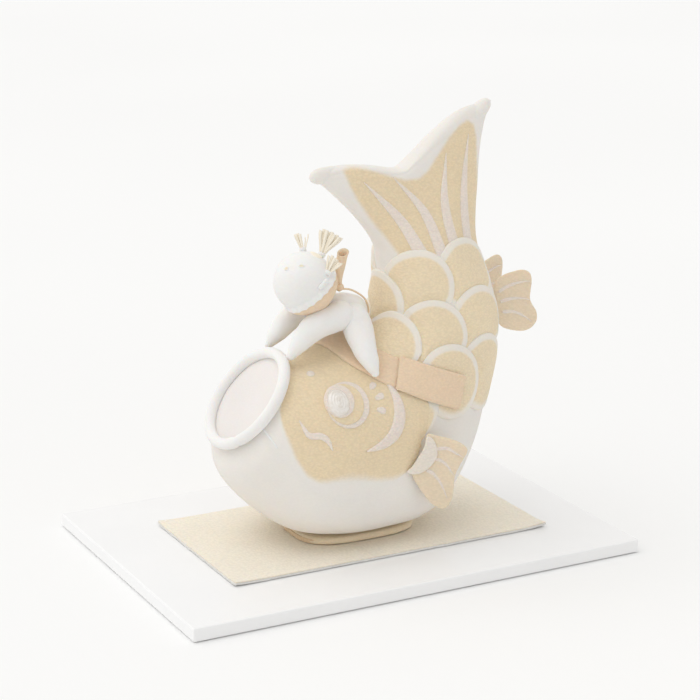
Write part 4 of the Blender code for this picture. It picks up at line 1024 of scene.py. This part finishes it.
def build_doll_head():
    rings, sides = 56, 72
    points = []
    for i in range(1, rings):
        tilt = math.pi * i / rings
        for k in range(sides):
            spot = neck_ring(tilt, 2 * math.pi * k / sides, HEAD_RADIUS)
            way = (spot - HEAD_CENTRE).normalized()
            points.append(HEAD_CENTRE + way * (HEAD_RADIUS + 0.12 * noise.noise(way * 2.3)))
    faces = grid_faces(rings - 1, sides, closed_columns=True)
    faces += [tuple(range(sides)), tuple(range((rings - 2) * sides, (rings - 1) * sides))]
    made = face_out(piece("doll_head_stuffed", points, faces, PAINTS["doll"], "doll_head", ["doll_head"]))
    build_scalloped_edge()
    build_head_patch("brow_left", Vector((-0.757, -0.28, 0.59)), 1.9, 1.7, PAINTS["brow"], 0.3)
    build_head_patch("brow_right", Vector((-0.379, -0.602, 0.705)), 2.2, 1.3, PAINTS["brow"], 0.3)
    build_head_patch("scalp_patch", Vector((0.40, -0.13, 0.90)), 6.2, 4.4, PAINTS["straw"], 0.5)
    build_ear_bar()


def build_head_patch(name, way, wide, tall, paint, thick):
    """A small dyed or glued patch on the doll's head."""
    way = way.normalized()
    across = way.cross(Vector((0, 0, 1))).normalized()
    up = across.cross(way)
    rings, spokes = 6, 32
    points = [on_head(way, thick)]
    dye = [1.5]
    fibre = [0.0]
    for i in range(1, rings + 1):
        share = i / rings
        for j in range(spokes):
            angle = 2 * math.pi * j / spokes
            offset = across * math.cos(angle) * wide * share + up * math.sin(angle) * tall * share
            lift = thick * rim(1 - share, 0.5) - (0.3 if i == rings else 0.0)
            points.append(on_head(way + offset / HEAD_RADIUS, lift))
            dye.append(2.0 - 3.4 * share)
            fibre.append(offset.dot(across) * 2.2)
    faces = [(0, 1 + j, 1 + (j + 1) % spokes) for j in range(spokes)]
    faces += [tuple(1 + k for k in reversed(face)) for face in grid_faces(rings, spokes, closed_columns=True)]
    piece(name, points, faces, paint, "doll_head", (), {"dye": dye, "fibre": fibre})


def build_ear_bar():
    """The short raised bar of the doll's near ear."""
    start, end = Vector((0.03, -1.0, -0.01)), Vector((0.39, -0.885, 0.24))
    steps, sides = 18, 14
    points = []
    for i in range(steps + 1):
        share = i / steps
        way = start.lerp(end, share).normalized()
        spot = on_head(way, 0.3)
        ahead = (end - start).normalized()
        side = ahead.cross(way).normalized()
        size = math.sqrt(max(1 - (2 * share - 1) ** 8, 0.0))
        for k in range(sides):
            angle = 2 * math.pi * k / sides
            points.append(spot + side * 1.4 * size * math.cos(angle) + way * 1.1 * size * math.sin(angle))
    faces = grid_faces(steps + 1, sides, closed_columns=True)
    faces += [tuple(range(sides)), tuple(range(steps * sides, (steps + 1) * sides))]
    face_out(piece("ear_bar", points, faces, PAINTS["doll"], "doll_head"))


def scallop_tilt(turn):
    """Where the white head cloth ends, in degrees from the neck's axis."""
    near = 0.5 + 0.5 * math.cos(turn - NEAR_TURN)
    return 62 + 13 * near ** 2 + 2.6 * abs(math.sin(turn * 11))


NEAR_TURN = math.radians(100)


def build_scalloped_edge():
    """The pinked end of the head's cloth, just over the bib."""
    around, columns = 264, 10
    points = []
    for i in range(around):
        turn = 2 * math.pi * i / around
        edge = scallop_tilt(turn)
        for k in range(columns + 2):
            share = min(k / columns, 1.0)
            tilt = math.radians(edge + 14 * share)
            lift = 1.7 * rim(share, 0.06) * (1 - smooth(0.1, 1.0, share)) - 0.05
            if k > columns:
                lift = -0.4
            points.append(neck_ring(tilt, turn, HEAD_RADIUS + lift))
    for i in range(around):
        turn = 2 * math.pi * i / around
        points.append(neck_ring(math.radians(scallop_tilt(turn)), turn, HEAD_RADIUS + 0.3))
    faces = grid_faces(around, columns + 2, closed_rows=True)
    piece("head_cloth_edge", points, faces, PAINTS["doll"], "doll_head")


def build_bib():
    """The peach bib: soft folds round the neck, gathered at the knot behind."""
    around, columns = 220, 22
    points = []
    for i in range(around):
        turn = 2 * math.pi * i / around
        top = scallop_tilt(turn) + 4.0
        for k in range(columns + 1):
            share = k / columns
            tilt = math.radians(16 + (top - 16) * share)
            fold = 0.35 * math.sin(share * 9 + 2.2 * math.sin(turn * 2)) + 0.22 * noise.noise(
                Vector((math.cos(turn) * 5, math.sin(turn) * 5, share * 3)))
            thick = 0.5 + 1.2 * (1 - smooth(0.80, 0.97, share)) * rim(share, 0.06)
            points.append(neck_ring(tilt, turn, HEAD_RADIUS + thick + fold * 0.5 * (1 - smooth(0.8, 0.95,
                                                                                               share))))
    faces = grid_faces(around, columns + 1, closed_rows=True)
    made = piece("bib_cloth", points, faces, PAINTS["peach"], "carp", ["bib"])
    build_bow()
    build_back_cord()


BOW_OPENING = Vector((-0.46, -0.89, 0.0))        # the side that the loop's open end leans to


def build_bow():
    """The bow's standing loop: a soft tube of ribbon, open at the top and gathered into the knot."""
    axis = BOW_TOP - BOW_KNOT
    up = axis.normalized()
    across = up.cross(Vector((0, 1, 0))).normalized()
    depth = up.cross(across)
    steps, sides = 26, 40
    rows = [(i / steps, 0.0) for i in range(steps + 1)] + [(i / steps, 0.8) for i in range(steps, 1, -1)]
    points = []
    for share, inner in rows:
        middle = BOW_KNOT + axis * share + across * 1.1 * math.sin(share * math.pi)
        wide = 1.5 + 1.9 * smooth(0.05, 0.7, share)
        deep = 1.3 + 1.3 * smooth(0.05, 0.8, share)
        lip = 0.3 * smooth(0.93, 1.0, share)
        for k in range(sides):
            angle = 2 * math.pi * k / sides
            pleat = 1 + 0.10 * math.sin(angle * 5) * (1 - share) ** 1.5
            offset = across * (wide * pleat + lip - inner) * math.cos(angle)
            offset += depth * (deep * pleat + lip - inner) * math.sin(angle)
            slant = -0.75 * offset.dot(BOW_OPENING) * smooth(0.45, 1.0, share)
            points.append(middle + offset + up * slant)
    faces = grid_faces(len(rows), sides, closed_columns=True)
    made = face_out(piece("bow_loop_ribbon", points, faces, PAINTS["peach"], "carp", ["bib_bow_loop"]))
    build_knot(up, across, depth)


def build_knot(up, across, depth):
    """A soft knot of ribbon where the bow meets the bib."""
    rings, sides = 22, 28
    points = []
    for i in range(1, rings):
        tilt = math.pi * i / rings
        for k in range(sides):
            angle = 2 * math.pi * k / sides
            way = (up * math.cos(tilt) + across * math.sin(tilt) * math.cos(angle)
                   + depth * math.sin(tilt) * math.sin(angle))
            crease = 0.25 * math.sin(angle * 3 + tilt * 4)
            points.append(BOW_KNOT + up * -0.4 + way * (2.6 + crease))
    faces = grid_faces(rings - 1, sides, closed_columns=True)
    faces += [tuple(range(sides)), tuple(range((rings - 2) * sides, (rings - 1) * sides))]
    face_out(piece("bow_knot", points, faces, PAINTS["peach"], "carp"))


def build_back_cord():
    knots = [Vector(point) for point in BACK_CORD]
    line = [catmull(knots, (len(knots) - 1) * i / 30) for i in range(31)]
    curve = bpy.data.curves.new("back_cord_twisted", "CURVE")
    curve.dimensions = "3D"
    curve.bevel_depth = 0.6 * MM
    curve.bevel_resolution = 4
    curve.use_fill_caps = True
    spline = curve.splines.new("POLY")
    spline.points.add(len(line) - 1)
    for knot, point in zip(spline.points, line):
        knot.co = (*(point * MM), 1.0)
    curve.materials.append(PAINTS["peach"])
    made = bpy.data.objects.new("back_cord_twisted", curve)
    bpy.context.scene.collection.objects.link(made)
    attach(made, "carp")
    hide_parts("back_cord")


TUFTS = [
    # node, foot, middle of the fan's end, half width of the fan, and its strands as (place across, length
    # share, half width)
    ("hair_tuft_left", (-29.9, -3.6, 189.2), (-30.9, 0.2, 200.2), 3.2,
     [(-0.75, 0.98, 0.95), (-0.35, 1.0, 0.95), (0.05, 0.93, 0.9), (0.95, 0.72, 0.35), (1.6, 0.84, 0.4)]),
    ("hair_tuft_crown", (-21.4, -9.3, 186.4), (-13.6, -9.0, 200.6), 6.4,
     [(-1.0, 0.90, 1.05), (-0.74, 0.99, 1.1), (-0.46, 1.0, 1.15), (-0.2, 0.98, 1.0), (0.06, 1.02, 1.05),
      (0.32, 0.97, 1.05), (0.58, 1.0, 1.0), (0.82, 0.95, 0.95), (1.05, 0.97, 0.9)]),
    ("hair_tuft_side", (-24.3, -22.6, 178.6), (-18.2, -22.9, 188.2), 4.2,
     [(-1.0, 0.95, 0.8), (-0.55, 1.05, 0.85), (-0.1, 1.0, 0.85), (0.35, 0.98, 0.8), (0.75, 0.9, 0.8),
      (1.1, 0.92, 0.7)]),
]
FACING = Vector((-0.447, -0.852, 0.273))        # the side that the tufts spread flat toward


def build_hair():
    """Tufts of flat straw strands, each bound at its foot by a white band."""
    for node, foot, end, spread, strands in TUFTS:
        foot, end = Vector(foot), Vector(end)
        length = (end - foot).length
        way = (end - foot).normalized()
        across = way.cross(FACING).normalized()
        depth = way.cross(across)
        points, faces, fibre = [], [], []
        for number, (place, reach, half) in enumerate(strands):
            first = len(points)
            steps = 8
            sway = 0.9 * math.sin(number * 2.4)
            for i in range(steps + 1):
                share = i / steps
                open_ = smooth(0.1, 1.0, share) * 0.7 + 0.3 * share
                middle = foot + way * length * reach * share
                fanned = across * (place * (1.0 + (spread - 1.0) * open_))
                middle += fanned + depth * sway * (0.3 + 0.5 * share)
                wide = half * (0.7 + 0.35 * share)
                for a, b in ((-1, -1), (1, -1), (1, 1), (-1, 1)):
                    points.append(middle + across * a * wide + depth * b * 0.18)
                    fibre.append(number * 3.7 + a * wide * 2.0)
            faces += [tuple(first + k for k in quad) for quad in grid_faces(steps + 1, 4,
                                                                            closed_columns=True)]
            faces += [tuple(first + k for k in range(4)), tuple(first + steps * 4 + k for k in range(4))]
        face_out(piece(f"{node}_straw", points, faces, PAINTS["straw"], "doll_head", [node],
                       {"fibre": fibre}))
        build_band(f"{node}_band", foot + way * 1.6, way, across, depth,
                   1.9 if node == "hair_tuft_crown" else 1.6)


def build_band(name, middle, way, across, depth, size):
    """The white binding at the foot of a tuft."""
    around, turns = 40, 12
    points = []
    for i in range(around):
        angle = 2 * math.pi * i / around
        spoke = across * math.cos(angle) * size + depth * math.sin(angle) * size * 0.75
        outward = spoke.normalized()
        for k in range(turns):
            turn = 2 * math.pi * k / turns
            points.append(middle + spoke + outward * 0.45 * math.cos(turn) + way * 1.3 * math.sin(turn))
    face_out(piece(name, points, grid_faces(around, turns, True, True), PAINTS["doll"], "doll_head"))


# ---------------------------------------------------------------- display set

MAT_CENTRE = (3.7, -1.7)
MAT_HALF = (107.0, 58.0)


def mat_lift(x, y):
    """How far the mat's corners curl up from the plate."""
    dx, dy = abs(x - MAT_CENTRE[0]) / MAT_HALF[0], abs(y - MAT_CENTRE[1]) / MAT_HALF[1]
    corner = max(0.0, dx + dy - 1.78) / 0.22
    curl = 1.3 if x > 0 else 0.6
    return curl * corner ** 2 + 0.12 * noise.noise(Vector((x * 0.03, y * 0.03, 2.0)))


def build_mat_layer(name, low, high, grow, rough, paint, node):
    """One layer of the mat: a thin slab whose cut edges wander a little."""
    columns, rows = 120, 66
    half = (MAT_HALF[0] + grow, MAT_HALF[1] + grow)
    points = []
    for level in (low, high):
        for j in range(rows + 1):
            for i in range(columns + 1):
                u, v = 2 * i / columns - 1, 2 * j / rows - 1
                x, y = MAT_CENTRE[0] + u * half[0], MAT_CENTRE[1] + v * half[1]
                wander = rough * noise.noise(Vector((x * 0.9, y * 0.9, level)))
                if abs(u) == 1:
                    x += wander
                if abs(v) == 1:
                    y += wander
                points.append(Vector((x, y, level + mat_lift(x, y))))
    layer = (rows + 1) * (columns + 1)
    faces = [tuple(reversed(face)) for face in grid_faces(rows + 1, columns + 1)]
    faces += [tuple(layer + k for k in face) for face in grid_faces(rows + 1, columns + 1)]
    rim_line = [j for j in range(columns + 1)]
    rim_line += [(i + 1) * (columns + 1) + columns for i in range(rows)]
    rim_line += [rows * (columns + 1) + columns - 1 - j for j in range(columns)]
    rim_line += [(rows - 1 - i) * (columns + 1) for i in range(rows - 1)]
    for a, b in zip(rim_line, rim_line[1:] + rim_line[:1]):
        faces.append((a, b, layer + b, layer + a))
    made = face_out(piece(name, points, faces, paint, "mat", [node]))
    made.data.set_sharp_from_angle(angle=math.radians(50))
    return made


PLINTH_CENTRE = (-0.4, -4.3)
PLINTH_HALF = (38.8, 29.5)


def build_plinth():
    """The wrapped plinth: cloth drawn over a rounded lip, a little fuller in the middle."""
    profile = [(0.0, 11.15), (0.6, 11.5), (0.75, 12.3), (0.6, 13.2), (0.25, 14.1), (-0.5, 14.8),
               (-1.6, 15.05),
               (-4.0, 15.1), (-9.0, 15.6), (-15.0, 16.2), (-24.0, 16.5)]
    steps = 120
    points = []
    for grow, z in profile:
        half = (PLINTH_HALF[0] - 0.6 + grow, PLINTH_HALF[1] - 0.6 + grow)
        for j in range(steps):
            angle = 2 * math.pi * j / steps
            cos, sin = math.cos(angle), math.sin(angle)
            x = math.copysign(abs(cos) ** (2 / 3.2), cos) * half[0]
            y = math.copysign(abs(sin) ** (2 / 3.2), sin) * half[1]
            pucker = 0.12 * noise.noise(Vector((x * 0.25, y * 0.25, 0.0)))
            points.append(Vector((PLINTH_CENTRE[0] + x, PLINTH_CENTRE[1] + y, z + pucker)))
    faces = grid_faces(len(profile), steps, closed_columns=True)
    faces += [tuple(range((len(profile) - 1) * steps, len(profile) * steps))]
    made = face_out(piece("plinth_wrapped_cloth", points, faces, PAINTS["plinth"], "carp", ["plinth_cloth"]))


def build_display_set():
    paint_node("display_plate", PAINTS["acrylic"])
    build_mat_layer("mat_card_cut", 8.75, 9.9, 0.25, 0.5, PAINTS["card"], "mat_card")
    made = build_mat_layer("mat_crepe_cloth", 9.95, 10.65, 0.0, 0.25, PAINTS["mat"], "mat_cloth")
    build_plinth()


def paint_node(node, paint):
    """Give a CAD node that keeps its shape its finished material."""
    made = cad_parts[node]
    made.data.materials.clear()
    made.data.materials.append(paint)


def paint_hidden_nodes():
    for node, paint in (("carp_core", "foam"), ("plinth_board", "wood"), ("fixing_dowel", "wood"),
                        ("neck_peg", "wood")):
        paint_node(node, PAINTS[paint])


# ---------------------------------------------------------------- studio

def build_studio():
    bpy.ops.mesh.primitive_circle_add(vertices=96, radius=9.0, fill_type="TRIFAN", location=(0, 0, -0.0004))
    floor = bpy.context.object
    floor.name = "studio_floor"
    shader = Shader("studio_floor", 0.9, specular=0.1)
    drift = shader.ramp(shader.noise(0.0012, 1.0), 0.3, 0.7, 0.985, 1.0)
    floor.data.materials.append(shader.finish(shader.mix(1.0, tint((0.93, 0.93, 0.925)), drift, "MULTIPLY")))

    world = bpy.data.worlds.new("studio")
    world.use_nodes = True
    bpy.context.scene.world = world
    tree = world.node_tree
    where = tree.nodes.new("ShaderNodeTexCoord")
    toward = tree.nodes.new("ShaderNodeVectorMath")
    toward.operation = "DOT_PRODUCT"
    toward.inputs[1].default_value = BRIGHT_SIDE
    strength = tree.nodes.new("ShaderNodeMapRange")
    for socket, number in zip(strength.inputs[1:], (-1.0, 1.0, *SKY)):
        socket.default_value = number
    background = tree.nodes["Background"]
    background.inputs["Color"].default_value = (1.0, 0.995, 0.985, 1.0)
    tree.links.new(where.outputs["Generated"], toward.inputs[0])
    tree.links.new(toward.outputs["Value"], strength.inputs[0])
    tree.links.new(strength.outputs[0], background.inputs["Strength"])
    add_sun("key_sun", (-0.44, 0.16, 0.88), 0.84, 70)


BRIGHT_SIDE = Vector((-0.35, 0.35, 0.87)).normalized()
SKY = (0.60, 0.86)              # the sky's strength on its dim side and on its bright side


def add_sun(name, toward, strength, spread):
    light = bpy.data.lights.new(name, "SUN")
    light.energy = strength
    light.angle = math.radians(spread)
    made = bpy.data.objects.new(name, light)
    made.rotation_mode = "QUATERNION"
    made.rotation_quaternion = Vector(toward).to_track_quat("Z", "Y")
    bpy.context.scene.collection.objects.link(made)


CAMERA_AZIMUTH = -27.69
CAMERA_ELEVATION = 15.86
CAMERA_DISTANCE = 1314.5
CAMERA_TARGET = Vector((3.4, 0.0, 123.0))
CAMERA_LENS = 109.97


def build_camera():
    camera = bpy.data.cameras.new("camera")
    camera.sensor_width = 36.0
    camera.lens = CAMERA_LENS
    camera.clip_start = 0.05
    camera.clip_end = 50.0
    made = bpy.data.objects.new("camera", camera)
    azimuth, elevation = math.radians(CAMERA_AZIMUTH), math.radians(CAMERA_ELEVATION)
    back = Vector((math.sin(azimuth) * math.cos(elevation), -math.cos(azimuth) * math.cos(elevation),
                   math.sin(elevation)))
    made.location = (CAMERA_TARGET + back * CAMERA_DISTANCE) * MM
    made.rotation_mode = "QUATERNION"
    made.rotation_quaternion = (-back).to_track_quat("-Z", "Y")
    bpy.context.scene.collection.objects.link(made)
    bpy.context.scene.camera = made
    bpy.context.scene.view_settings.view_transform = "Standard"


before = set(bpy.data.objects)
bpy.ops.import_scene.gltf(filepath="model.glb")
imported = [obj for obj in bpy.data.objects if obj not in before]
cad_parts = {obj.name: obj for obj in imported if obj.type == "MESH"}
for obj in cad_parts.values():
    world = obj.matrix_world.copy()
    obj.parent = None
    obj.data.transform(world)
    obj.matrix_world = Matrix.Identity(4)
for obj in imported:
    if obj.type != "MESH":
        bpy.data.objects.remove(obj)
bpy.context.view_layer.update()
build_camera()
build_studio()
build_body()
build_head_cover()
build_scales()
build_cheek_scales()
build_tail_rays()
build_tail_tips()
build_face()
build_mouth()
build_sash()
build_fins()
build_doll()
build_hair()
build_display_set()
paint_hidden_nodes()
